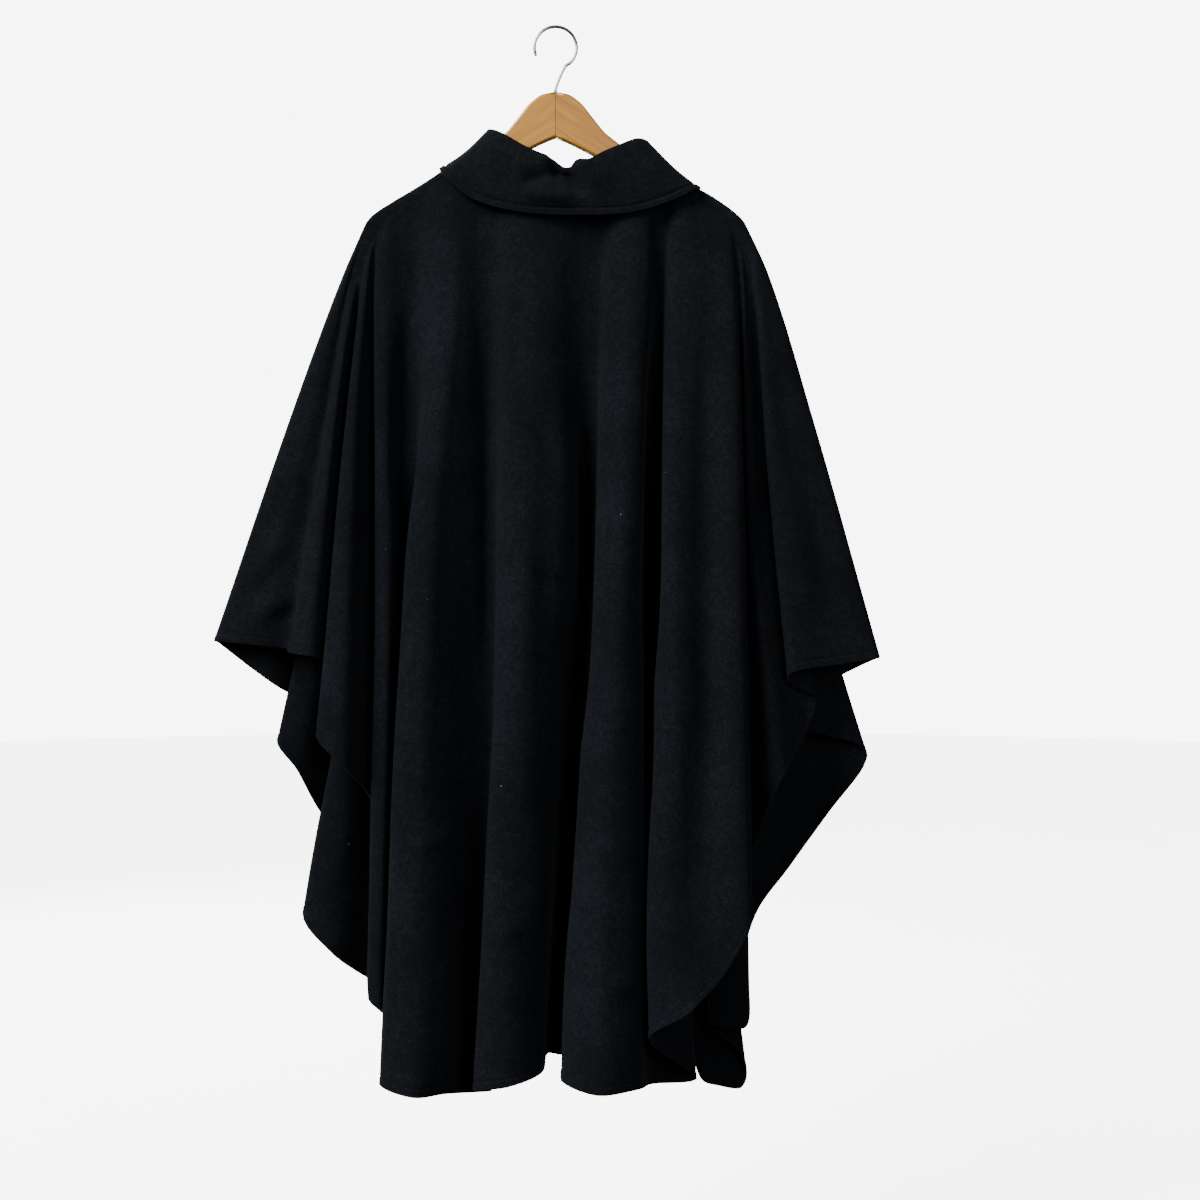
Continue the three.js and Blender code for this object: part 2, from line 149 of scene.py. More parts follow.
HEM = Border(stitch=9.0, past=1.0, band=0.45, fade=0.8, groove=0.75, width=1.1, sunk=0.45)
COLLAR_EDGE = Border(stitch=7.5, past=0.0, band=0.9, fade=0.6, groove=1.45, width=1.4, sunk=0.5)

BACK_FOLDS: Rows = (
    # the left wing
    (-213, -238, -296, -385, -692, -8, 0), (-211.3, -232, -272, -340, -696, -16, 0),
    (-209.6, -228.5, -257, -300, -701, -12, 0.15), (-208, -224.5, -250, -292, -704, -44, 0.15),
    (-206.5, -221, -243, -266, -708, -54, 0.15), (-205, -218, -237, -251, -714, -11, 0.1),
    (-203.5, -215.3, -230, -240, -722, -19, 0.1), (-202, -213, -234, -260, -795, -56, 0.08),
    (-200.3, -210.3, -222, -228, -829, -64, 0.06), (-198.5, -207.3, -209, -208, -865, -16, 0.04),
    (-196.5, -204, -200, -194, -905, -12, 0.04),
    # left of the middle
    (-194, -199.5, -196, -203, -1082, -52, 0.03), (-187, -190, -183, -191, -1092, -56, 0.02),
    (-178, -168, -172, -176, -1135, -18, 0.02), (-158, -153, -158, -162, -1152, -14, 0.02),
    (-134, -131, -163, -186, -1168, -88, 0.01), (-114, -112, -138, -150, -1177, -106, 0.01),
    (-98, -99, -115, -118, -1180, -82, 0.01), (-86, -84, -87, -94, -1190, -42, 0),
    (-66, -66, -68, -70, -1190, -36, 0), (-48, -51, -57, -85, -1173, -92, 0),
    (-24, -22, -28, -49, -1167, -102, 0), (4, 2, -2, -15, -1161, -72, 0), (29, 26, 20, -9, -1154, -14, 0),
    (44, 38, 31, 3, -1158, -4, 0), (59, 51, 42, 19, -1160, -8, 0),
    # right of the middle
    (72, 61, 43, 9, -1167, -78, 0), (88, 84, 70, 48, -1173, -112, 0), (102, 103, 93, 90, -1174, -88, 0),
    (113, 112, 102, 110, -1187, -19, 0.01), (126, 121.5, 114, 158, -1184, -13, 0.01),
    (136, 130.5, 114, 104, -1119, -84, 0.01), (153, 149, 130, 146, -1087, -106, 0.01),
    (174, 175, 158, 178, -1058, -92, 0.02), (193.5, 199, 205, 214, -995, -80, 0.03),
    # the right wing
    (198, 203.5, 207, 212, -965, -30, 0.04), (200.3, 207, 212, 220, -930, -18, 0.05),
    (202.3, 210.5, 215, 250, -846, -44, 0.06), (204.2, 214, 226, 272, -812, -18, 0.08),
    (206, 218, 237, 286, -788, -5, 0.1), (207.6, 221.2, 241, 292, -756, -11, 0.1),
    (208.8, 223.5, 234, 262, -738, -28, 0.09), (210, 226, 238, 262, -727, -40, 0.08),
    (211.3, 232, 268, 318, -718, -22, 0.05), (213, 240, 290, 366, -711, -8, 0),
)

LEFT_FOLDS: Rows = (
    # from the seam to the front edge
    (-213, -238, -296, -385, -692, 8, 0), (-211.3, -232.5, -276, -348, -722, 13, 0),
    (-209.5, -229, -265, -320, -743, 18, 0.1), (-207.7, -225.8, -257, -292, -764, 38, 0.12),
    (-206, -222.8, -251, -281, -786, 31, 0.12), (-204.2, -219.7, -247, -316, -806, 13, 0.1),
    (-202.4, -216, -238, -294, -839, 11, 0.1), (-200.4, -212, -226, -269, -893, 34, 0.1),
    (-198.2, -208, -216, -244, -925, 60, 0.08), (-195.5, -204, -210, -238, -955, 58, 0.08),
    (-191.5, -199.5, -214, -288, -1003, 17, 0.08), (-184, -190, -206, -256, -1046, 12, 0.08),
    (-174, -178, -192, -222, -1078, 36, 0.06), (-162, -166, -181, -202, -1092, 44, 0.05),
    (-150, -154, -172, -214, -1102, 24, 0.05), (-136, -140, -162, -194, -1122, 22, 0.03),
    (-122, -126, -150, -168, -1160, 64, 0.02), (-98, -106, -136, -152, -1180, 98, 0),
    (-86, -90, -118, -124, -1188, 90, 0), (-64, -71, -101, -112, -1190, 36, 0),
    (-48, -56, -90, -100, -1190, 34, 0), (-26, -38, -80, -94, -1183, 76, 0.02),
    (4, -16, -66, -76, -1164, 80, 0.06), (34, 14, -52, -66, -1120, 50, 0.1),
)

RIGHT_FOLDS: Rows = (
    # from the front edge to the seam
    (10, 26, 98, 157, -1165, 40, 0.12), (32, 46, 106, 168, -1199, 38, 0.1),
    (54, 66, 118, 188, -1206, 40, 0.05), (76, 86, 134, 213, -1208, 39, 0.03),
    (90, 99, 144, 218, -1188, 31, 0.03), (100, 109, 152, 207, -1160, 24, 0.03),
    (113, 119, 158, 180, -1138, 18, 0.08), (126, 131, 163, 175, -1128, 9, 0.08),
    (144, 148, 179, 195, -1131, 4, 0.08), (166, 170, 198, 215, -1131, 9, 0.08),
    (182, 186, 208, 222, -1110, 30, 0.03), (190, 196, 214, 216, -1075, 56, 0.03),
    (195, 203, 221, 232, -1012, 62, 0.05), (198, 208.8, 232, 272, -957, 66, 0.08),
    (200.2, 213.8, 244, 318, -892, 60, 0.08), (202.3, 218, 254, 358, -832, 46, 0.1),
    (204.2, 221.3, 257.5, 352, -815, 37, 0.1), (206, 224.3, 261, 306, -800, 31, 0.1),
    (207.7, 227.3, 263, 264, -785, 23, 0.1), (209.5, 230.5, 265, 263, -766, 14, 0.1),
    (211.3, 234.5, 277, 333, -727, 13, 0.1), (213, 240, 290, 366, -711, 8, 0),
)

# The shoulders' seams as x and z; each panel takes them half the seam's gap from the middle.
LEFT_SHOULDER = ((-213, -220), (-205, -211.5), (-180, -195), (-149, -176.5), (-125, -160.5), (-98, -144))
RIGHT_SHOULDER = ((126, -162), (149, -175.5), (180, -193), (205, -211.5), (213, -220))


def seam(points: Sequence[Flat], side: int) -> tuple[Point, ...]:
    """Lays shoulder points at the seam, on the back's side (-1) or the fronts' (1)."""
    return tuple((x, side * SEAM_GAP / 2, z) for x, z in points)


BACK_TOP: tuple[Point, ...] = (
    *seam(LEFT_SHOULDER, -1), (-86, -9.2, -143.5), (-75, -11.5, -152), (-60, -13, -163),
    (-20, -14.5, -181), (22, -15, -188), (62, -14.5, -184), (96, -12.5, -173), (113, -9.2, -160),
    *seam(RIGHT_SHOULDER, -1),
)
LEFT_TOP: tuple[Point, ...] = (
    *seam(LEFT_SHOULDER, 1), (-86, 9.2, -144.5), (-75, 11.5, -154), (-60, 13, -168),
    (-20, 14, -194), (12, 14, -206), (40, 14, -209),
)
RIGHT_TOP: tuple[Point, ...] = (
    (4, 17.5, -209), (32, 17.5, -206), (64, 15, -194), (96, 12.5, -176), (113, 9.2, -161),
    *seam(RIGHT_SHOULDER, 1),
)

# Round the neck: at each place the seam, the fold line and the outer edge of the collar.
COLLAR_STATIONS: tuple[tuple[Point, Point, Point], ...] = (
    ((17, 20.6, -208), (15, 25, -172), (-8, 33, -256)),
    ((-20, 17.1, -196), (-24, 24, -150), (-50, 32, -238)),
    ((-60, 15.9, -170), (-60, 21, -127), (-92, 27, -206)),
    ((-83, 11, -142.5), (-73, 12, -118.5), (-123, 21, -175)),
    ((-95, 0, -139), (-76, 0, -118), (-130.5, 0, -160.5)),
    ((-83, -11, -141.5), (-73, -12, -118.5), (-123, -20, -172.5)),
    ((-60, -16.2, -164), (-62, -21, -124), (-92, -26, -199)),
    ((-20, -17.6, -182), (-28, -24, -143), (-42, -29, -214)),
    ((22, -17.8, -189), (22, -25, -160), (23, -30, -218)),
    ((62, -17.4, -185), (60, -24, -144), (84, -29, -215)),
    ((96, -16, -173), (92, -21, -131), (128, -26, -202)),
    ((113, -11, -156), (102, -12, -131), (156, -20, -188)),
    ((124, 0, -157), (105, 0, -131), (163, 0, -182.5)),
    ((113, 11, -156.5), (102, 12, -132), (157, 21, -191)),
    ((96, 15.6, -178), (92, 21, -138), (132, 27, -215)), ((64, 18, -196), (66, 24, -152), (94, 33, -240)),
    ((27, 20.6, -208), (29, 25, -172), (52, 35, -256)),
)

# Smaller forms than the solids carry.
BACK_CREASES: Rows = (
    (3, -400, 13, -700, 14, 11.0), (-24, -455, 2, -492, 6, -4.0), (35, -370, 31, -790, 9, -9.0),
    (-79, -350, -77, -720, 8, -9.0), (110, -350, 108, -720, 9, -8.0), (-167, -320, -176, -540, 8, -8.0),
    (166, -330, 172, -980, 13, -8.0), (197, -330, 200, -900, 10, 4.0), (221, -280, 231, -640, 6, -5.0),
    (113, -850, 114, -1090, 20, 5.0), (150, -760, 152, -1100, 24, -12.0), (22, -980, 6, -1145, 5, 2.5),
    (-376, -676, -302, -600, 9, -4.5), (-346, -676, -292, -636, 8, 3.5), (-352, -628, -300, -566, 10, 3.0),
    (-318, -672, -288, -652, 6, -3.0), (-330, -560, -292, -500, 12, -3.0),
    (-296, -470, -262, -560, 7, -1.6), (-276, -380, -258, -450, 7, 1.6), (-116, -260, -140, -520, 11, -1.8),
    (-128, -560, -146, -840, 9, 1.6), (-160, -700, -172, -1000, 8, 1.8), (-152, -846, -112, -874, 8, -3.8),
    (-146, -912, -104, -900, 8, 3.8), (-160, -1010, -118, -1046, 8, -3.8), (-60, -934, -22, -960, 8, -3.8),
    (-66, -1012, -30, -994, 8, 3.8), (-54, -1076, -14, -1102, 8, -3.8), (52, -902, 84, -930, 8, 3.8),
    (46, -990, 88, -1022, 8, -3.8), (56, -1066, 94, -1052, 8, 3.8), (120, -934, 156, -962, 8, -3.8),
    (-20, -616, 14, -640, 8, -3.8), (56, -560, 92, -578, 8, 3.8), (-134, -880, -150, -1120, 8, -1.6),
    (-96, -300, -100, -470, 9, 1.4), (-40, -250, -46, -430, 9, -1.6), (-30, -520, -40, -760, 9, 1.6),
    (-58, -800, -66, -1100, 8, 1.8), (-32, -860, -36, -1080, 8, -1.8), (-10, -560, -14, -800, 8, -1.5),
    (70, -240, 66, -430, 9, -1.7), (82, -470, 72, -720, 9, 1.7), (50, -780, 42, -1060, 8, 1.7),
    (72, -800, 66, -1130, 8, -1.7), (146, -300, 138, -520, 10, -1.7), (132, -560, 128, -800, 9, 1.8),
    (160, -640, 168, -860, 9, -1.6), (134, -860, 136, -1040, 8, -1.6), (188, -420, 192, -640, 9, 1.6),
    (186, -700, 196, -900, 9, -1.7), (262, -500, 284, -690, 11, 3.0), (286, -540, 322, -700, 10, -3.5),
    (306, -560, 346, -690, 9, 3.0), (252, -380, 270, -520, 10, -3.0), (258, -640, 300, -688, 8, -2.5),
    (232, -260, 246, -330, 7, 1.2), (-224, -250, -242, -320, 7, 1.2), (-150, -205, -190, -236, 8, -1.6),
    (-120, -196, -168, -232, 8, 1.2), (150, -204, 188, -232, 8, -1.4), (120, -200, 160, -240, 8, 1.2),
    (-30, -222, -44, -300, 9, 1.6), (40, -226, 38, -310, 9, -1.6), (4, -226, 2, -290, 8, 1.2),
)
LEFT_CREASES: Rows = (
    (-110, -300, -128, -520, 10, -2.0), (-140, -560, -146, -800, 9, 1.8),
    (-128, -820, -140, -1100, 8, -1.8), (-60, -280, -84, -520, 9, 1.8), (-74, -600, -84, -900, 8, -1.6),
    (-190, -420, -206, -640, 8, 1.6), (-226, -700, -250, -900, 9, -1.8), (-300, -520, -340, -660, 9, -1.8),
    (-270, -430, -290, -560, 8, 1.6), (-236, -940, -262, -1040, 9, 1.6), (-150, -205, -190, -240, 8, -1.4),
    (-20, -240, -40, -340, 9, -1.4),
)
RIGHT_CREASES: Rows = (
    (90, -290, 110, -500, 10, -2.0), (120, -560, 140, -800, 9, 1.8), (140, -840, 160, -1080, 9, -1.8),
    (150, -300, 172, -520, 9, 1.8), (176, -600, 190, -860, 9, -1.6), (230, -460, 262, -640, 9, 1.7),
    (290, -560, 330, -690, 9, -1.8), (262, -700, 300, -860, 9, 1.6), (310, -740, 336, -840, 8, -1.8),
    (150, -205, 190, -240, 8, -1.4), (50, -250, 64, -360, 9, 1.4), (200, -980, 208, -1100, 7, -1.4),
)
COLLAR_CREASES: Rows = (
    (1, -146, 0, -184, 4.5, -7.0), (-36, -180, 0, -170, 6.5, -6.5), (4, -160, 34, -198, 8, -11.0),
    (24, -160, 50, -188, 7, 4.0), (-34, -194, 22, -200, 8, 6.5), (-18, -152, -6, -164, 6, 3.5),
    (14, -158, 40, -164, 7, 4.0), (-48, -160, -30, -168, 8, 2.0), (-70, -150, -92, -178, 8, 1.2),
    (-44, -160, -60, -190, 8, -1.2), (96, -158, 118, -180, 8, 1.3), (60, -172, 70, -200, 9, -1.3),
)


def linear(hex_colour: str) -> tuple[float, float, float, float]:
    """Turns an sRGB hex colour into linear light.

    Args:
        hex_colour: six hex digits after a hash.

    Returns:
        Red, green, blue and an alpha of 1.
    """
    parts = [int(hex_colour[i : i + 2], 16) / 255 for i in (1, 3, 5)]
    light = [c / 12.92 if c <= 0.04045 else ((c + 0.055) / 1.055) ** 2.4 for c in parts]
    return light[0], light[1], light[2], 1.0


def add_node(
    tree: Tree,
    kind: str,
    settings: dict[str | int, Any] | None = None,
    links: dict[str | int, Socket] | None = None,
) -> bpy.types.Node:
    """Adds a shader node with its settings and its incoming links.

    Args:
        tree: the material's or world's node tree.
        kind: the node's type name.
        settings: attributes of the node by name, and values of its inputs by name or number.
        links: output sockets to link in, by the name or number of this node's input.

    Returns:
        The new node.
    """
    made = tree.nodes.new(kind)
    for name, value in (settings or {}).items():
        if isinstance(name, int) or name in made.inputs:
            made.inputs[name].default_value = value
        else:
            setattr(made, name, value)
    for name, socket in (links or {}).items():
        tree.links.new(socket, made.inputs[name])
    return made


@dataclass
class NodeMaterial:
    """A material while it is put together: its node tree, its shader and the piece's coordinates."""

    name: str

    def __post_init__(self) -> None:
        """Starts the material with one Principled shader."""
        self.material = bpy.data.materials.new(self.name)
        self.material.use_nodes = True
        self.tree = self.material.node_tree
        self.shader = self.tree.nodes["Principled BSDF"]
        self.place = add_node(self.tree, "ShaderNodeTexCoord").outputs["Object"]

    def link(self, socket: Socket, name: str) -> None:
        """Links a socket into the shader's input of this name."""
        self.tree.links.new(socket, self.shader.inputs[name])

    def set_sockets(self, **values: Any) -> None:
        """Sets constants on the shader's sockets; an underscore in a name stands for a space."""
        for name, value in values.items():
            self.shader.inputs[name.replace("_", " ")].default_value = value

    def noise(self, size_mm: float, place: Socket | None = None, **settings: float) -> Socket:
        """Adds a noise of this grain.

        Args:
            size_mm: how large its spots are.
            place: the coordinates, or else the piece's own.
            settings: the node's other inputs by name.

        Returns:
            Its value from 0 to 1.
        """
        inputs = {"Scale": 1 / (size_mm * MM), **settings}
        made = add_node(self.tree, "ShaderNodeTexNoise", inputs, {"Vector": place or self.place})
        return made.outputs["Fac"]

    def mapped(self, place: Socket, **settings: Point) -> Socket:
        """Turns or stretches coordinates by the mapping node's inputs."""
        return add_node(self.tree, "ShaderNodeMapping", settings, {"Vector": place}).outputs["Vector"]

    def blend(self, share: float, first: Socket, second: Socket) -> Socket:
        """Mixes two values, with this share of the second."""
        settings = {"data_type": "FLOAT", "Factor": share}
        return add_node(self.tree, "ShaderNodeMix", settings, {"A": first, "B": second}).outputs["Result"]

    def ramp(self, factor: Socket, *stops: tuple[float, str]) -> Socket:
        """Adds a colour ramp.

        Args:
            factor: what drives the ramp.
            stops: positions from 0 to 1 with their hex colours, in order.

        Returns:
            The ramp's colour.
        """
        made = add_node(self.tree, "ShaderNodeValToRGB", links={"Fac": factor})
        elements = made.color_ramp.elements
        while len(elements) < len(stops):
            elements.new(0.5)
        for element, (position, colour) in zip(elements, stops):
            element.position = position
            element.color = linear(colour)
        return made.outputs["Color"]

    def bump(self, height: Socket, strength: float, depth_mm: float) -> None:
        """Gives the shader a fine relief.

        Args:
            height: what stands out.
            strength: how much of it shows.
            depth_mm: how far it stands out.
        """
        settings = {"Strength": strength, "Distance": depth_mm * MM}
        made = add_node(self.tree, "ShaderNodeBump", settings, {"Height": height})
        self.link(made.outputs["Normal"], "Normal")


@dataclass(frozen=True)
class MilledWool:
    """Wool coating, woven, milled and raised: matt near-black whose short nap greys where it is lit."""

    name: str = "wool_coating_milled"
    deep: str = "#030407"
    mid: str = "#06080b"
    worn: str = "#0e1014"
    lint: str = "#55575b"
    sheen_tint: str = "#9aa0ac"
    nap_mm: float = 1.5  # fibres are far finer; drawn as coarse as they need to show
    tuft_mm: float = 6.5  # tufts of nap that lie together
    cloud_mm: float = 90.0  # how far apart the nap lies differently
    tuft_share: float = 0.3
    cloud_share: float = 0.22
    nap_depth_mm: float = 1.1
    lint_mm: float = 26.0  # how far apart specks of lint may lie
    lint_reach: float = 0.034  # the largest speck, as a share of that
    roughness: float = 0.92
    sheen: float = 0.03

    def build(self) -> Material:
        """Builds the wool.

        Returns:
            The material.
        """
        made = NodeMaterial(self.name)
        nap = made.noise(self.nap_mm, Detail=4.0, Roughness=0.6)
        tufts = made.noise(self.tuft_mm, Detail=3.0, Roughness=0.6)
        cloud = made.noise(self.cloud_mm, Detail=3.0, Roughness=0.6)
        fine = made.blend(self.tuft_share, nap, tufts)
        tone = made.blend(self.cloud_share, fine, cloud)
        wool = made.ramp(tone, (0.4, self.deep), (0.5, self.mid), (0.6, self.worn))
        made.link(self.with_lint(made, wool), "Base Color")
        made.bump(fine, 0.6, self.nap_depth_mm)
        made.set_sockets(
            Roughness=self.roughness,
            IOR=1.45,
            Sheen_Weight=self.sheen,
            Sheen_Roughness=0.5,
            Sheen_Tint=linear(self.sheen_tint),
            Specular_IOR_Level=0.06,
        )
        return made.material

    def with_lint(self, made: NodeMaterial, wool: Socket) -> Socket:
        """Strews a few grey specks of lint over the cloth, unevenly.

        Args:
            made: the material in the making.
            wool: the cloth's own colour.

        Returns:
            The colour with its lint.
        """
        bent = made.mapped(made.place, Scale=(1.0, 1.0, 0.55))
        cells = {"feature": "F1", "Scale": 1 / (self.lint_mm * MM), "Randomness": 1.0}
        specks = add_node(made.tree, "ShaderNodeTexVoronoi", cells, {"Vector": bent})
        sizes = add_node(made.tree, "ShaderNodeSeparateColor", links={"Color": specks.outputs["Color"]})
        spread = {"From Min": 0.5, "From Max": 1.0, "To Min": 0.0, "To Max": self.lint_reach}
        reach = add_node(made.tree, "ShaderNodeMapRange", spread, {"Value": sizes.outputs["Red"]})
        inside = add_node(
            made.tree,
            "ShaderNodeMath",
            {"operation": "LESS_THAN"},
            {0: specks.outputs["Distance"], 1: reach.outputs["Result"]},
        )
        colours = {"data_type": "RGBA", 7: linear(self.lint)}
        mix = add_node(made.tree, "ShaderNodeMix", colours, {0: inside.outputs["Value"], 6: wool})
        return mix.outputs[2]


@dataclass(frozen=True)
class LacqueredBeech:
    """Beech, planed, shaped and clear lacquered: straight grain with small flecks under a satin coat."""

    name: str
    pale: str
    dark: str
    lean: float  # degrees that the arm falls away from level
    ring_mm: float = 7.0
    fleck_mm: float = 2.4
    fleck_share: float = 0.35
    fleck_depth_mm: float = 0.3

    def build(self) -> Material:
        """Builds the beech.

        Returns:
            The material.
        """
        made = NodeMaterial(self.name)
        along = made.mapped(made.place, Rotation=(0.0, math.radians(self.lean), 0.0))
        grown = made.mapped(along, Scale=(0.07, 1.0, 1.0))
        rings = made.noise(self.ring_mm, grown, Detail=5.0, Roughness=0.6, Distortion=0.4)
        flecks = made.noise(self.fleck_mm, grown, Detail=2.0, Roughness=0.5)
        grain = made.blend(self.fleck_share, rings, flecks)
        made.link(made.ramp(grain, (0.32, self.dark), (0.62, self.pale)), "Base Color")
        made.bump(flecks, 0.12, self.fleck_depth_mm)
        made.set_sockets(Roughness=0.42, IOR=1.5, Coat_Weight=0.45, Coat_Roughness=0.22)
        return made.material


@dataclass(frozen=True)
class PlatedSteel:
    """Steel wire, drawn and bright plated: a clear mirror line along it, broken by fine draw marks."""

    name: str = "steel_wire_plated"
    colour: str = "#8d9094"
    mark_mm: float = 1.2

    def build(self) -> Material:
        """Builds the steel.

        Returns:
            The material.
        """
        made = NodeMaterial(self.name)
        marks = made.noise(self.mark_mm, Detail=3.0)
        rough = add_node(made.tree, "ShaderNodeMapRange", {"To Min": 0.16, "To Max": 0.3}, {"Value": marks})
        made.link(rough.outputs["Result"], "Roughness")
        made.set_sockets(Base_Color=linear(self.colour), Metallic=1.0)
        return made.material


@dataclass(frozen=True)
class PolishedHorn:
    """Horn, turned and polished: near black with faint brown clouds under a soft gloss."""

    name: str = "horn_turned_polished"
    dark: str = "#12100e"
    light: str = "#2b231c"
    cloud_mm: float = 9.0

    def build(self) -> Material:
        """Builds the horn.

        Returns:
            The material.
        """
        made = NodeMaterial(self.name)
        clouds = made.noise(self.cloud_mm, Detail=4.0, Distortion=1.2)
        made.link(made.ramp(clouds, (0.4, self.dark), (0.7, self.light)), "Base Color")
        made.set_sockets(Roughness=0.4, IOR=1.54, Specular_IOR_Level=0.2)
        return made.material


@dataclass(frozen=True)
class OpalAcrylic:
    """Acrylic sheet, cast, opal and sanded, lit from below: the soft white ground of a studio."""

    name: str = "acrylic_opal_cast"
    colour: str = "#f4f3f1"
    clouded: str = "#efeeec"
    cloud_mm: float = 350.0
    glow: float = 5.2

    def build(self) -> Material:
        """Builds the acrylic.

        Returns:
            The material.
        """
        made = NodeMaterial(self.name)
        tone = made.noise(self.cloud_mm, Detail=2.0)
        made.link(made.ramp(tone, (0.3, self.clouded), (0.7, self.colour)), "Base Color")
        made.set_sockets(
            Roughness=0.9,
            Specular_IOR_Level=0.1,
            Emission_Color=linear(self.colour),
            Emission_Strength=self.glow,
        )
        return made.material


def glide(start: Array, leave: Array, end: Array, arrive: Array, u: Array | float) -> Array:
    """Reads a curve that leaves one point and arrives at the next with these slopes, a share u along."""
    return (
        start * (1 + 2 * u) * (1 - u) ** 2
        + leave * u * (1 - u) ** 2
        + end * u * u * (3 - 2 * u)
        - arrive * u * u * (1 - u)
    )


def steady_curve(keys: Sequence[float], values: Sequence[float], at: Array) -> Array:
    """Reads a smooth curve that never swings past its points.

    Args:
        keys: rising positions of the points.
        values: what the curve is at each.
        at: positions to read.

    Returns:
        The curve's values there.
    """
    knots = np.asarray(keys, float)
    heights = np.asarray(values, float)
    spans = np.diff(knots)
    rises = np.diff(heights) / spans
    product = rises[:-1] * rises[1:]
    total = np.where(product > 0, rises[:-1] + rises[1:], 1.0)
    inner = np.where(product > 0, 2 * product / total, 0.0)
    slopes = np.concatenate([rises[:1], inner, rises[-1:]])
    i = np.clip(np.searchsorted(knots, at, side="left") - 1, 0, len(knots) - 2)
    u = np.clip((at - knots[i]) / spans[i], 0, 1)
    return glide(heights[i], slopes[i] * spans[i], heights[i + 1], slopes[i + 1] * spans[i], u)


def across_lines(lines: Array, at: float) -> Array:
    """Turns smoothly through neighbouring lines, without loops.

    Args:
        lines: one row of points for each line.
        at: a whole line number and a fraction of the way to the next.

    Returns:
        A row of points there.
    """
    last = len(lines) - 1
    i = min(int(at), last - 1)
    before = lines[i - 1] if i > 0 else 2 * lines[0] - lines[1]
    after = lines[i + 2] if i < last - 1 else 2 * lines[last] - lines[last - 1]
    run = (before, lines[i], lines[i + 1], after)
    least = 0.3  # keeps the curve calm where two lines nearly touch
    gaps = [
        np.maximum(np.sqrt(np.linalg.norm(b - a, axis=-1)), least)[..., None]
        for a, b in zip(run, run[1:])
    ]
    slopes = [
        ((b - a) / d0 - (c - a) / (d0 + d1) + (c - b) / d1) * gaps[1]
        for a, b, c, d0, d1 in zip(run, run[1:], run[2:], gaps, gaps[1:])
    ]
    return glide(run[1], slopes[0], run[2], slopes[1], at - i)


def quarter_round(share: Array) -> Array:
    """The rise of a quarter circle, level again from 1 on."""
    return np.sqrt(1 - (1 - np.minimum(share, 1)) ** 2)


def unit(ways: Array) -> Array:
    """Gives directions the length 1."""
    return ways / np.maximum(np.linalg.norm(ways, axis=-1, keepdims=True), 1e-9)


def surface_normals(grid: Array) -> Array:
    """Works out unit normals of a grid of points, rows by columns by 3."""
    return unit(np.cross(np.gradient(grid, axis=1), np.gradient(grid, axis=0)))


def crease_heights(grid: Array, creases: Rows) -> Array:
    """Adds up soft troughs and ridges over a grid.

    Args:
        grid: rows by columns by 3.
        creases: the rows of a crease table.

    Returns:
        How far each point moves out.
    """
    height = np.zeros(grid.shape[:2])
    for crease in starmap(Crease, creases):
        start = np.array([crease.x0, crease.z0])
        run = np.array([crease.x1, crease.z1]) - start
        offset = grid[:, :, (0, 2)] - start
        along = np.clip((offset @ run) / (run @ run), 0, 1)
        distance = np.linalg.norm(offset - along[..., None] * run, axis=2)
        fade = np.sin(np.pi * np.clip(along, 0.02, 0.98)) ** 0.6
        height += crease.depth * fade * np.exp(-((distance / crease.width) ** 2))
    return height


def drape_ripple(grid: Array) -> Array:
    """The faint unevenness of hanging wool, a few tenths of a millimetre at each point of a grid."""
    x, z = grid[:, :, 0], grid[:, :, 2]
    return (
        0.35 * np.sin(x / 17 + 1.3 * np.sin(z / 90))
        + 0.25 * np.sin(x / 9.5 - z / 140 + 0.8)
        + 0.3 * np.sin(z / 41 + x / 60)
    )


def edge_distances(grid: Array) -> tuple[Array, Array, Array]:
    """Measures along the cloth from each point to its lower edge and its two side edges.

    Args:
        grid: rows by columns by 3.

    Returns:
        The distances from the last row, the first column and the last column.
    """
    down = np.linalg.norm(np.diff(grid, axis=0), axis=2)
    along = np.linalg.norm(np.diff(grid, axis=1), axis=2)
    below = np.pad(np.cumsum(down[::-1], axis=0)[::-1], ((0, 1), (0, 0)))
    first = np.pad(np.cumsum(along, axis=1), ((0, 0), (1, 0)))
    last = np.pad(np.cumsum(along[:, ::-1], axis=1)[:, ::-1], ((0, 0), (0, 1)))
    return below, first, last


def add_object(name: str, data: bpy.types.ID) -> Piece:
    """Puts a new object in the scene.

    Args:
        name: the object's name.
        data: its mesh, light or camera.

    Returns:
        The object.
    """
    made = bpy.data.objects.new(name, data)
    bpy.context.scene.collection.objects.link(made)
    return made


def make_mesh(name: str, points: Array, faces: list[tuple[int, ...]], material: Material) -> Piece:
    """Makes a smooth-shaded mesh object.

    Args:
        name: the object's name.
        points: its corners in millimetres.
        faces: its faces, as corner numbers.
        material: what it is made of.

    Returns:
        The object, in the scene.
    """
    mesh = bpy.data.meshes.new(name)
    mesh.from_pydata((points * MM).tolist(), [], faces)
    mesh.polygons.foreach_set("use_smooth", [True] * len(mesh.polygons))
    mesh.materials.append(material)
    mesh.update()
    return add_object(name, mesh)


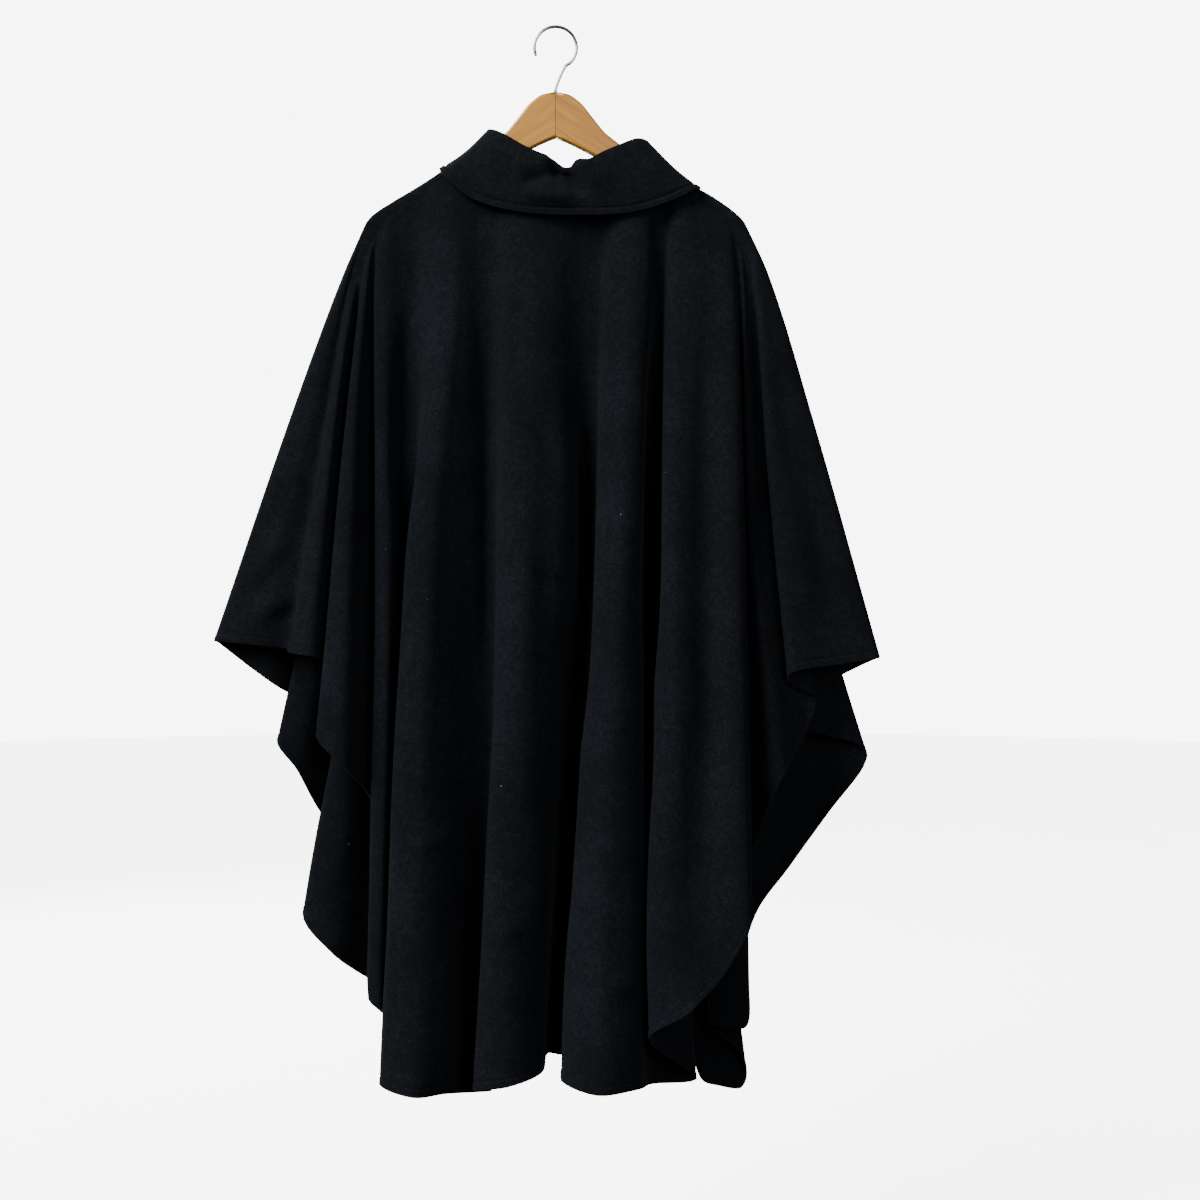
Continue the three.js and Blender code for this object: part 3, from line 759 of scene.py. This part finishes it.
def shell(name: str, middle: Array, half: Array, material: Material, flush: Array | None = None) -> Piece:
    """Makes a closed thin shell about a middle surface, with a rounded rim.

    Args:
        name: the object's name.
        middle: rows by columns by 3, in millimetres.
        half: half the thickness at each point.
        material: what it is made of.
        flush: where the rim faces straight across a seam.

    Returns:
        The object.
    """
    rows, columns = middle.shape[:2]
    normal = surface_normals(middle)
    if flush is not None:
        normal[flush, 1] = 0
        normal = unit(normal)
    ring = [(0, j) for j in range(columns)]
    ring += [(i, columns - 1) for i in range(1, rows)]
    ring += [(rows - 1, j) for j in range(columns - 2, -1, -1)]
    ring += [(i, 0) for i in range(rows - 2, 0, -1)]
    rim = []
    for i, j in ring:
        inward = middle[min(max(i, 1), rows - 2), min(max(j, 1), columns - 2)] - middle[i, j]
        inward -= normal[i, j] * (inward @ normal[i, j])
        length = max(float(np.linalg.norm(inward)), 1e-6)
        rim.append(middle[i, j] - inward / length * min(RIM_ROUND * half[i, j], RIM_MOST))
    out = normal * half[..., None]
    points = np.concatenate([(middle - out).reshape(-1, 3), (middle + out).reshape(-1, 3), rim])
    layer = rows * columns
    faces = []
    for a in np.arange(layer).reshape(rows, columns)[:-1, :-1].ravel().tolist():
        b, c, d = a + 1, a + columns + 1, a + columns
        faces += [(a, b, c, d), (layer + d, layer + c, layer + b, layer + a)]
    border = [i * columns + j for i, j in ring]
    for k, p in enumerate(border):
        after = (k + 1) % len(border)
        q, m, n = border[after], 2 * layer + k, 2 * layer + after
        faces += [(q, p, m, n), (n, m, layer + p, layer + q)]
    return make_mesh(name, points, faces, material)


def ring_points(centre: Array, first: Array, second: Array, radius: float, around: int) -> list[Array]:
    """Places corners round a centre, turning from the first direction to the second."""
    turns = [2 * math.pi * k / around for k in range(around)]
    return [centre + radius * (math.cos(turn) * first + math.sin(turn) * second) for turn in turns]


def tube_faces(rings: int, around: int) -> list[tuple[int, ...]]:
    """Joins rings of corners into a closed tube.

    Args:
        rings: how many rings.
        around: corners in each.

    Returns:
        The faces, with both ends closed.
    """
    faces: list[tuple[int, ...]] = []
    for i in range(rings - 1):
        for k in range(around):
            a, b = i * around + k, i * around + (k + 1) % around
            faces.append((a, b, b + around, a + around))
    faces.append(tuple(reversed(range(around))))
    faces.append(tuple((rings - 1) * around + k for k in range(around)))
    return faces


def turned_over(faces: list[tuple[int, ...]]) -> list[tuple[int, ...]]:
    """Makes faces look the other way."""
    return [tuple(reversed(face)) for face in faces]


def stitch_row(name: str, path: Array, outward: Array, material: Material) -> Piece:
    """Lays a row of machine stitches along a path.

    Args:
        name: the object's name.
        path: points that the row follows, in millimetres.
        outward: the cloth's outward direction at each point.
        material: the thread.

    Returns:
        The object that holds every stitch of the row.
    """
    steps = np.linalg.norm(np.diff(path, axis=0), axis=1)
    distance = np.concatenate([[0], np.cumsum(steps)])
    tube = tube_faces(len(STITCH_PROFILE), STITCH_SIDES)
    points: list[Array] = []
    faces: list[tuple[int, ...]] = []
    for start in np.arange(1.0, distance[-1] - STITCH_LENGTH, STITCH_PITCH):
        first, last, up = (
            np.array([np.interp(at, distance, values[:, axis]) for axis in range(3)])
            for at, values in ((start, path), (start + STITCH_LENGTH, path), (start, outward))
        )
        up = unit(up)
        run = last - first
        side = unit(np.cross(run, up))
        faces += [tuple(len(points) + corner for corner in face) for face in tube]
        for share, width in STITCH_PROFILE:
            rise = 0.35 * math.sin(math.pi * share) - 0.1  # its middle stands out, its ends go in
            centre = first + run * share + up * THREAD * rise
            points += ring_points(centre, up, side, THREAD / 2 * width, STITCH_SIDES)
    return make_mesh(name, np.array(points), faces, material)


def wire(name: str, path: Array, radius: float, material: Material, around: int = 16) -> Piece:
    """Makes a round wire with domed ends along a path.

    Args:
        name: the object's name.
        path: the wire's centre line, in millimetres.
        radius: the wire's radius.
        material: what it is made of.
        around: corners round the wire.

    Returns:
        The object.
    """
    tangent = unit(np.gradient(path, axis=0))
    dome = [math.radians(angle) for angle in (80, 55, 30)]
    places = [(path[0] - tangent[0] * radius * math.sin(a), tangent[0], math.cos(a)) for a in dome]
    places += [(centre, ahead, 1.0) for centre, ahead in zip(path, tangent)]
    end, ahead = path[-1], tangent[-1]
    places += [(end + ahead * radius * math.sin(a), ahead, math.cos(a)) for a in reversed(dome)]
    side = np.cross(tangent[0], (0.3, 1.0, 0.2))
    points = []
    for centre, ahead, width in places:
        side = side - ahead * (side @ ahead)
        side = side / np.linalg.norm(side)
        points += ring_points(centre, side, np.cross(ahead, side), radius * width, around)
    return make_mesh(name, np.array(points), tube_faces(len(places), around), material)


def settle(piece: Piece, slot: str, *solids: str) -> None:
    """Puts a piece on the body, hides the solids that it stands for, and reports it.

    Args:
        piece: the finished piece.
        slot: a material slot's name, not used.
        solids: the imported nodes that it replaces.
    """
    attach(piece, BODY)
    if solids:
        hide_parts(*solids)
    triangles = sum(len(face.vertices) - 2 for face in piece.data.polygons)
    log.info("%s: %d triangles", piece.name, triangles)


@dataclass
class Panel:
    """One cut panel of the cloak, hung from the shoulders and falling in folds."""

    name: str
    solid: str
    folds: Rows
    top: tuple[Point, ...]
    creases: Rows
    outward: int  # -1 where the outside faces the camera
    open_edge: int | None = None  # the line along the front edge, where the panel has one
    ridge_mm: tuple[float, ...] = (0, 0.35, 0.8, 1.4, 2.2, 3.2, 4.4, 5.6, 6.8, 8.4, 10)
    hem_mm: tuple[float, ...] = (14, 12.6, 11.4, 10.4, 9.6, 9, 8.4, 7.6, 6.6, 5, 3.4, 2, 0.9, 0)
    body_rows: int = 150
    per_span: int = 5  # columns from one line to the next
    near_seam: tuple[float, ...] = (0, 0.02, 0.05, 0.09, 0.15, 0.25, 0.4, 0.6, 0.8)
    near_edge: int = 16  # columns in the span beside a front edge
    crowding: float = 1.15  # above 1, rows lie closer near the top
    leaving: float = 0.7  # below 1, the cloth leaves the hanger's plane early

    def line(self, fold: Fold) -> Array:
        """Follows one line down the cloth.

        Args:
            fold: the line's row in the fold table.

        Returns:
            Its points, one for each row of the panel.
        """
        xs, ys, zs = zip(*self.top)
        at = np.array([fold.top_x])
        top_y, top_z = (float(steady_curve(xs, values, at)[0]) for values in (ys, zs))
        height = top_z - fold.hem_z
        first, last = self.ridge_mm[-1] / height, 1 - self.hem_mm[0] / height
        even = first + (last - first) * np.linspace(0, 1, self.body_rows + 2)[1:-1] ** self.crowding
        ridge, hem = np.array(self.ridge_mm) / height, 1 - np.array(self.hem_mm) / height
        share = np.concatenate([ridge, even, hem])
        fallen = np.maximum(share - fold.start, 0) / (1 - fold.start)
        flat = math.copysign(max(FLAT_DEPTH, abs(top_y)), top_y)
        hanging = flat + (fold.hem_y - flat) * fallen**self.leaving
        turned = quarter_round(share * height / EDGE_ROLL)
        x = steady_curve(FOLD_SHARES, fold[: len(FOLD_SHARES)], share)
        return np.stack([x, top_y + (hanging - top_y) * turned, top_z - height * share], axis=1)

    def columns(self) -> list[float]:
        """Places the columns across the folds, closer together beside seams and front edges.

        Returns:
            Whole fold numbers with fractions, in order.
        """
        last = len(self.folds) - 1
        seams = self.seams()
        places: list[float] = []
        for span in range(last):
            steps = self.near_edge if self.open_edge in (span, span + 1) else self.per_span
            if span == 0 and seams[0]:
                places += self.near_seam
            elif span == last - 1 and seams[1]:
                places += [span, *(last - step for step in reversed(self.near_seam[1:]))]
            else:
                places += [span + k / steps for k in range(steps)]
        return [*places, last]

    def seams(self) -> tuple[bool, bool]:
        """Tells whether the first and the last line lie on an overarm seam."""
        return self.open_edge != 0, self.open_edge != len(self.folds) - 1

    def middle(self) -> tuple[Array, Array]:
        """Builds the panel's middle surface.

        Returns:
            Rows by columns of points, and where they meet a seam flush.
        """
        lines = np.stack([self.line(fold) for fold in starmap(Fold, self.folds)])
        grid = np.stack([across_lines(lines, at) for at in self.columns()], axis=1)
        ends = [grid[:, end].copy() for end, seam in zip((0, -1), self.seams()) if seam]
        near = np.min(
            [np.hypot(*(grid[:, :, a] - end[:, None, a] for a in (0, 2))) for end in ends], axis=0
        )
        ridge = np.arange(len(grid))[:, None] < len(self.ridge_mm)
        normal = surface_normals(grid)
        rows_down = np.linspace(0, 1, len(grid))[:, None]
        # Creases fade in 12 mm from a seam, and from a tenth of the way down.
        free = np.clip(near / 30 - 0.4, 0, 1) * np.clip(rows_down * 12 - 1.2, 0, 1)
        lift = (crease_heights(grid, self.creases) + drape_ripple(grid)) * free
        grid = grid + normal * (lift * self.side_of(normal))[..., None]
        side = math.copysign(1, self.top[0][1])
        held = (near < EDGE_ROLL) | ridge
        apart = np.maximum(side * grid[:, :, 1], SEAM_GAP / 2) - SEAM_GAP / 2
        clamped = side * (SEAM_GAP / 2 + apart * quarter_round(near / EDGE_ROLL))
        grid[:, :, 1] = np.where(held, clamped, grid[:, :, 1])
        return grid, held & (np.abs(grid[:, :, 1]) < SEAM_GAP)

    def side_of(self, normal: Array) -> float:
        """Gives 1 where the grid's normals point out of the cloak on the whole, or else -1."""
        return 1.0 if normal[:, :, 1].mean() * self.outward > 0 else -1.0

    def build(self, wool: Material) -> None:
        """Builds the panel and its hem stitching.

        Args:
            wool: the cloth's material.
        """
        grid, flush = self.middle()
        below, *beside = edge_distances(grid)
        edge = None if self.open_edge is None else beside[0 if self.open_edge == 0 else 1]
        away = below if edge is None else np.minimum(below, edge)
        half = HEM.half(CLOTH / 2, away)
        half[flush] = CLOTH / 2
        half[: len(self.ridge_mm)] = CLOTH / 2
        piece = shell(self.name, grid, half, wool, flush)
        settle(piece, "wool", self.solid)
        stitching = self.stitching(grid, away, edge, wool)

    def stitching(self, grid: Array, away: Array, edge: Array | None, thread: Material) -> Piece:
        """Sews the hem's row of stitches, and the front edge's where there is one.

        Args:
            grid: the middle surface.
            away: how far each point is from its nearest hemmed edge.
            edge: how far it is from the front edge.
            thread: the thread's material.

        Returns:
            The stitching.
        """
        normal = surface_normals(grid)
        normal *= self.side_of(normal)
        hem_row = len(grid) - len(self.hem_mm) + self.hem_mm.index(HEM.stitch)
        sewn = [(hem_row, column) for column in np.flatnonzero(away[hem_row] > HEM.stitch - CORNER_REACH)]
        if edge is not None:
            rows = range(len(self.ridge_mm), len(grid) - len(self.hem_mm))
            nearest = 0 if self.open_edge == 0 else -1
            front = [(row, np.flatnonzero(edge[row] >= HEM.stitch)[nearest]) for row in rows]
            sewn = front + sewn if self.open_edge == 0 else sewn + front[::-1]
        at = tuple(np.transpose(sewn))
        surface = grid[at] + normal[at] * (CLOTH / 2 - HEM.sunk)
        made = stitch_row(self.name + "_stitching", surface, normal[at], thread)
        settle(made, "wool")
        return made

    def buttonhole(self, seat: Point, length: float, thread: Material) -> None:
        """Sews the buttonhole's two lips beside the button, from the front edge inward.

        Args:
            seat: the button's centre.
            length: how long the slit is.
            thread: the thread's material.
        """
        grid, _ = self.middle()
        normal = surface_normals(grid)
        normal = (normal * self.side_of(normal)).reshape(-1, 3)
        cloth = grid.reshape(-1, 3)
        lip, lead, neighbours = 1.5, 3, 4
        xs = np.linspace(seat[0] - lead, seat[0] + length - lead, 24)
        loop = [(x, seat[2] + lip) for x in xs] + [(x, seat[2] - lip) for x in xs[::-1]]
        path, ways = [], []
        for x, z in loop + loop[:1]:
            distance = np.hypot(cloth[:, 0] - x, cloth[:, 2] - z)
            nearest = np.argsort(distance)[:neighbours]
            weight = 1 / (distance[nearest] + 0.1)
            weight /= weight.sum()
            ways.append(weight @ normal[nearest])
            path.append((x, float(weight @ cloth[nearest, 1]), z) + ways[-1] * (CLOTH / 2 - 0.1))
        settle(stitch_row("buttonhole_stitching", np.array(path), np.array(ways), thread), "wool")


@dataclass
class Collar:
    """The turned-down collar: a stand, a rolled fold and a fall with an edge-stitched border."""

    thickness: float = 2.6
    roll_radius: float = 3.2
    neck_middle: float = 22.0
    neck_flatness: float = 4.0  # how much the neck's depth counts against its width
    bulge: float = 3.0
    ripple: float = 0.4  # share of the panels' ripple
    pinch_x: float = 11.0  # where the fold line dips behind the neck
    pinch_width: float = 11.0
    pinch_depth: float = 6.0
    steps_round: int = 18
    places: tuple[float, ...] = field(
        default_factory=lambda: (*np.arange(0, 5, 0.125), *(6 - np.geomspace(1, 0.012, 46)))
    )
    fall_from: float = 3.2  # the place across it from where it falls outside

    def middle(self) -> Array:
        """Builds the collar's middle surface, a row for each place across it.

        Returns:
            Rows by columns of points.
        """
        lines = [np.array(line, float)[:, None, :] for line in zip(*COLLAR_STATIONS)]
        last = len(COLLAR_STATIONS) - 1
        drop = np.array([0, 0, -self.roll_radius])
        sections = []
        for step in range(last * self.steps_round + 1):
            at = step / self.steps_round
            neck, roll, edge = (across_lines(line, at)[0] for line in lines)
            roll = roll - np.array([0.0, 0.0, self.pinch(roll)])
            around = (min(at + 0.25, last), max(at - 0.25, 0))
            ahead = np.subtract(*(across_lines(lines[1], place)[0] for place in around))
            out = np.array([-ahead[1], ahead[0], 0.0])
            out /= np.linalg.norm(out)
            if out[0] * (roll[0] - self.neck_middle) + out[1] * roll[1] * self.neck_flatness < 0:
                out = -out
            in_fold = roll - out * self.roll_radius + drop
            out_fold = roll + out * self.roll_radius + drop
            stand = (neck + in_fold) / 2
            bulge = np.array([0.0, self.bulge * out[1], -self.bulge * abs(out[0])])
            fall = (out_fold + edge) / 2 + bulge
            section = np.array([neck, stand, in_fold, roll, out_fold, fall, edge])[:, None, :]
            sections.append([across_lines(section, place)[0] for place in self.places])
        return np.array(sections).transpose(1, 0, 2)

    def pinch(self, roll: Array) -> float:
        """Tells how far the fold line dips at this point of it."""
        reach = (roll[0] - self.pinch_x) / self.pinch_width
        return self.pinch_depth * math.exp(-(reach**2)) if roll[1] < 0 else 0.0

    def build(self, wool: Material) -> None:
        """Builds the collar and its edge stitching.

        Args:
            wool: the cloth's material.
        """
        grid = self.middle()
        normal = surface_normals(grid)
        from_neck = (grid - np.array([self.neck_middle, 0, 0])) * (1, self.neck_flatness, 0)
        fall = np.array(self.places)[:, None] > self.fall_from
        outward = normal * float(np.sign((np.sign((normal * from_neck).sum(axis=2)) * fall).sum()))
        lift = crease_heights(grid, COLLAR_CREASES) * fall * (grid[:, :, 1] < 0)
        grid = grid + outward * (lift + self.ripple * drape_ripple(grid) * fall)[..., None]
        below, left, right = edge_distances(grid)
        ends = np.minimum(left, right)
        away = np.where(fall, np.minimum(below, ends), np.inf)
        piece = shell("collar_fall", grid, COLLAR_EDGE.half(self.thickness / 2, away), wool)
        settle(piece, "wool", "collar")
        row = int(np.argmin(np.abs(np.median(below, axis=1) - COLLAR_EDGE.stitch)))
        inner = np.flatnonzero(ends[row] > COLLAR_EDGE.stitch)
        ways = outward[row, inner]
        path = grid[row, inner] + ways * (self.thickness / 2 - COLLAR_EDGE.sunk)
        stitching = stitch_row("collar_stitching", path, ways, wool)
        settle(stitching, "wool")


@dataclass
class Hanger:
    """A shaped wooden hanger of two halves, glued at the middle, with a wire hook."""

    thickness: float = HANGER_THICKNESS
    bevel: float = 3.0
    arm_height: float = 34.0
    glue_slit: float = 0.25  # each half's share of the fine dark line where the two meet
    wood_top: float = -73.0
    shank: float = 26.0
    wire: float = 3.6
    hook_radius: float = 22.0
    top: tuple[Flat, ...] = (
        (0, -73), (14, -75), (28, -84), (42, -101), (57, -119), (95, -147), (149, -182.5),
        (180, -199.5), (194, -208),
    )

    def outline(self) -> Array:
        """Draws one half's inner outline, before its rounded edge is added.

        Returns:
            Its corners as x and z.
        """
        clear = SEAM_GAP / 2 + self.bevel
        xs, zs = zip(*self.top)
        upper = np.concatenate([np.arange(14, 57, 3.5), [57, 76, 95, 122, 149, 165, 180, 194]])
        points = [(clear, self.wood_top - 3.2)]
        points += [(max(x, clear) - 2, z - 2.8) for x, z in zip(upper, steady_curve(xs, zs, upper))]
        points += self.bend(points[-1], (200, -213), (198, -219))
        points += self.bend(points[-1], (194, -222), (186, -217))
        points += [(150, -200), (95, -143 - self.arm_height), (50, -145)]
        return np.array(points + self.bend(points[-1], (20, -128), (clear, -122)))

    @staticmethod
    def bend(start: Flat, pull: Flat, end: Flat) -> list[Flat]:
        """Draws a curve from a start, left out of the result, through a point's pull to an end."""
        return [
            tuple((1 - u) ** 2 * a + 2 * u * (1 - u) * b + u * u * c for a, b, c in zip(start, pull, end))
            for u in (k / 6 for k in range(1, 7))
        ]

    def half(self, side: Side, beech: Material) -> None:
        """Builds one half with rounded edges.

        Args:
            side: which half.
            beech: its material.
        """
        flat = self.outline()
        before, after = np.roll(flat, 1, axis=0), np.roll(flat, -1, axis=0)
        runs = [unit(b - a) for a, b in ((before, flat), (flat, after))]
        normals = [np.stack([-run[:, 1], run[:, 0]], axis=1) for run in runs]
        mitre = normals[0] + normals[1]
        mitre /= np.maximum((mitre * normals[0]).sum(axis=1, keepdims=True), 0.5)
        angles = [math.radians(a) for a in (0, 18, 36, 54, 72, 90)]
        depth = self.thickness / 2 - self.bevel
        rings = [(self.bevel * math.sin(a), -depth - self.bevel * math.cos(a)) for a in angles]
        rings += [(offset, -y) for offset, y in reversed(rings)]
        joined = flat[:, 0] < SEAM_GAP / 2 + self.bevel + MM
        points = []
        for offset, y in rings:
            ring = flat + mitre * offset
            ring[joined, 0] = 0.0 if offset > 0.99 * self.bevel else self.glue_slit
            points += [(side.value * x, y, z) for x, z in ring]
        faces = tube_faces(len(rings), len(flat))
        if side is Side.LEFT:
            faces = turned_over(faces)
        name = f"hanger_{side.name.lower()}"
        piece = make_mesh(name + "_half", np.array(points), faces, beech)
        for polygon in piece.data.polygons:
            polygon.use_smooth = len(polygon.vertices) <= 4
        settle(piece, "beech", name)

    def hook(self, steel: Material) -> None:
        """Bends the hook: a straight shank, a bend to the right and round over the crown.

        Args:
            steel: its material.
        """
        radius = self.hook_radius + self.wire / 2
        drops = (self.shank, self.shank / 2, 0.0, -4.0)
        points = [(0.0, 0.0, self.wood_top - drop) for drop in drops]
        for angle in np.radians(np.arange(-62, 200.1, 14.5)).tolist():
            points.append((radius * math.cos(angle), 0.0, radius * math.sin(angle) - self.hook_radius))
        lines = np.array(points)[:, None, :]
        places = np.arange(0, len(points) - 0.99, 0.125)
        path = np.array([across_lines(lines, float(at))[0] for at in places])
        settle(wire("hook_wire", path, self.wire / 2, steel), "steel", "hook")


@dataclass
class NeckButton:
    """The one button at the throat: turned, with a raised rim, four holes and crossed thread."""

    diameter: float = 26.0
    thickness: float = 4.0
    seat: Point = (29.0, 18.9, -243.0)
    hole_spread: float = 2.6
    hole_radius: float = 1.0
    hole_depth: float = 2.4
    hole_edge: float = 0.12
    well_depth: float = 1.2
    thread_radius: float = 0.45
    around: int = 72

    def build(self, horn: Material, thread: Material) -> None:
        """Builds the button and its thread.

        Args:
            horn: the button's material.
            thread: the thread's material.
        """
        radius = self.diameter / 2
        well = self.thickness - self.well_depth
        profile = [(r, well) for r in np.arange(0.3, radius - 4.4, 0.3)]
        profile += [(radius - 3.6, well + 0.5), (radius - 3, well + 1.0), (radius - 2.2, self.thickness)]
        profile += [(radius - 1.2, self.thickness), (radius - 0.4, well + 0.7), (radius, well)]
        profile += [(radius, 1.2), (radius - 0.5, 0.4), (radius - 1.5, 0.0)]
        points = []
        for r, height in profile:
            for turn in (2 * math.pi * k / self.around for k in range(self.around)):
                x, z = r * math.cos(turn), r * math.sin(turn)
                hole = math.hypot(abs(x) - self.hole_spread, abs(z) - self.hole_spread)
                sunk = self.hole_depth / (1 + math.exp((hole - self.hole_radius) / self.hole_edge))
                points.append((x, height - (sunk if height == well else 0.0), z))
        faces = turned_over(tube_faces(len(profile), self.around))
        place = np.array(self.seat)
        piece = make_mesh("throat_button", np.array(points) + place, faces, horn)
        settle(piece, "button", "neck_button")
        spread = self.hole_spread
        for lean, name in ((-1, "button_thread_down"), (1, "button_thread_up")):
            start, end = (np.array((s * spread, well - 1.2, s * lean * spread)) for s in (-1, 1))
            arch = [
                start + (end - start) * u + np.array((0, 1.5 * math.sin(math.pi * u) ** 0.5, 0))
                for u in np.linspace(0, 1, 14)
            ]
            settle(wire(name, np.array(arch) + place, self.thread_radius, thread, 8), "wool")


@dataclass
class Studio:
    """The lit opal floor, the soft lights and the camera."""

    aim: Point = (50.3, 0.0, -646.0)
    distance: float = 1900.0
    focal_pixels: float = 1681.4  # of a frame 1200 wide
    frame_pixels: float = 1200.0
    sensor: float = 36.0
    floor_z: float = -1500.0
    floor_radius: float = 9000.0
    floor_sides: int = 64
    boxes: tuple[Softbox, ...] = (
        Softbox("fill", (1300, -2600, 0), 64, 1.8),
        Softbox("back", (-1500, 2300, 500), 190, 2.4),
    )
    sun_power: float = 9.0
    sun_spread: float = 34.0  # degrees
    sun_way: Point = (1.0, 0.82, -0.8)
    world_light: float = 0.1
    world_shown: float = 7.6  # to the camera alone

    def build(self) -> None:
        """Builds the camera, the floor, the world and the lights."""
        lens = bpy.data.cameras.new("camera")
        lens.sensor_width = self.sensor
        lens.lens = self.focal_pixels / self.frame_pixels * self.sensor
        camera = add_object("camera", lens)
        camera.location = Vector((self.aim[0], -self.distance, self.aim[2])) * MM
        camera.rotation_euler = (math.radians(90), 0, 0)
        bpy.context.scene.camera = camera
        across, deep = np.eye(3)[:2] * self.floor_radius
        points = ring_points(np.array((0.0, 0.0, self.floor_z)), across, deep, 1.0, self.floor_sides)
        floor = make_mesh("floor", np.array(points), [tuple(range(self.floor_sides))], OpalAcrylic().build())
        floor.visible_diffuse = False
        floor.visible_glossy = False
        world = bpy.data.worlds.new("studio")
        bpy.context.scene.world = world
        world.use_nodes = True
        tree = world.node_tree
        sky = tree.nodes["Background"]
        sky.inputs["Color"].default_value = linear("#ffffff")
        seen = add_node(tree, "ShaderNodeLightPath").outputs["Is Camera Ray"]
        levels = {"To Min": self.world_light, "To Max": self.world_shown}
        strength = add_node(tree, "ShaderNodeMapRange", levels, {"Value": seen})
        tree.links.new(strength.outputs["Result"], sky.inputs["Strength"])
        for box in self.boxes:
            light = bpy.data.lights.new(box.name, "AREA")
            light.energy = box.power
            light.size = box.size
            lamp = add_object(box.name, light)
            lamp.location = Vector(box.place) * MM
            self.turn(lamp, Vector(self.aim) * MM - lamp.location)
        sun = bpy.data.lights.new("key", "SUN")
        sun.energy = self.sun_power
        sun.angle = math.radians(self.sun_spread)
        self.turn(add_object("key", sun), Vector(self.sun_way))

    @staticmethod
    def turn(lamp: Piece, way: Vector) -> None:
        """Turns a lamp to shine this way."""
        lamp.rotation_euler = way.to_track_quat("-Z", "Y").to_euler()


def main() -> None:
    """Builds the whole cloak, piece by piece, in its studio."""
    logging.basicConfig(level=logging.INFO, format="%(name)s: %(message)s")
    Studio().build()
    wool = MilledWool().build()
    hanger = Hanger()
    left_beech = LacqueredBeech("beech_lacquered_left", "#a0701c", "#855812", 33)
    right_beech = LacqueredBeech("beech_lacquered_right", "#996817", "#7a4c0d", -33)
    hanger.half(Side.LEFT, left_beech.build())
    hanger.half(Side.RIGHT, right_beech.build())
    hanger.hook(PlatedSteel().build())
    button = NeckButton()
    Panel("back_cloth", "back_panel", BACK_FOLDS, BACK_TOP, BACK_CREASES, outward=-1).build(wool)
    last = len(LEFT_FOLDS) - 1
    Panel(
        "left_front_cloth", "front_left", LEFT_FOLDS, LEFT_TOP, LEFT_CREASES,
        outward=1, open_edge=last, per_span=6,
    ).build(wool)
    right_front = Panel(
        "right_front_cloth", "front_right", RIGHT_FOLDS, RIGHT_TOP, RIGHT_CREASES,
        outward=1, open_edge=0, per_span=7,
    )
    right_front.build(wool)
    right_front.buttonhole(button.seat, button.diameter + button.thickness, wool)
    Collar().build(wool)
    button.build(PolishedHorn().build(), wool)


if __name__ == "__main__":
    main()
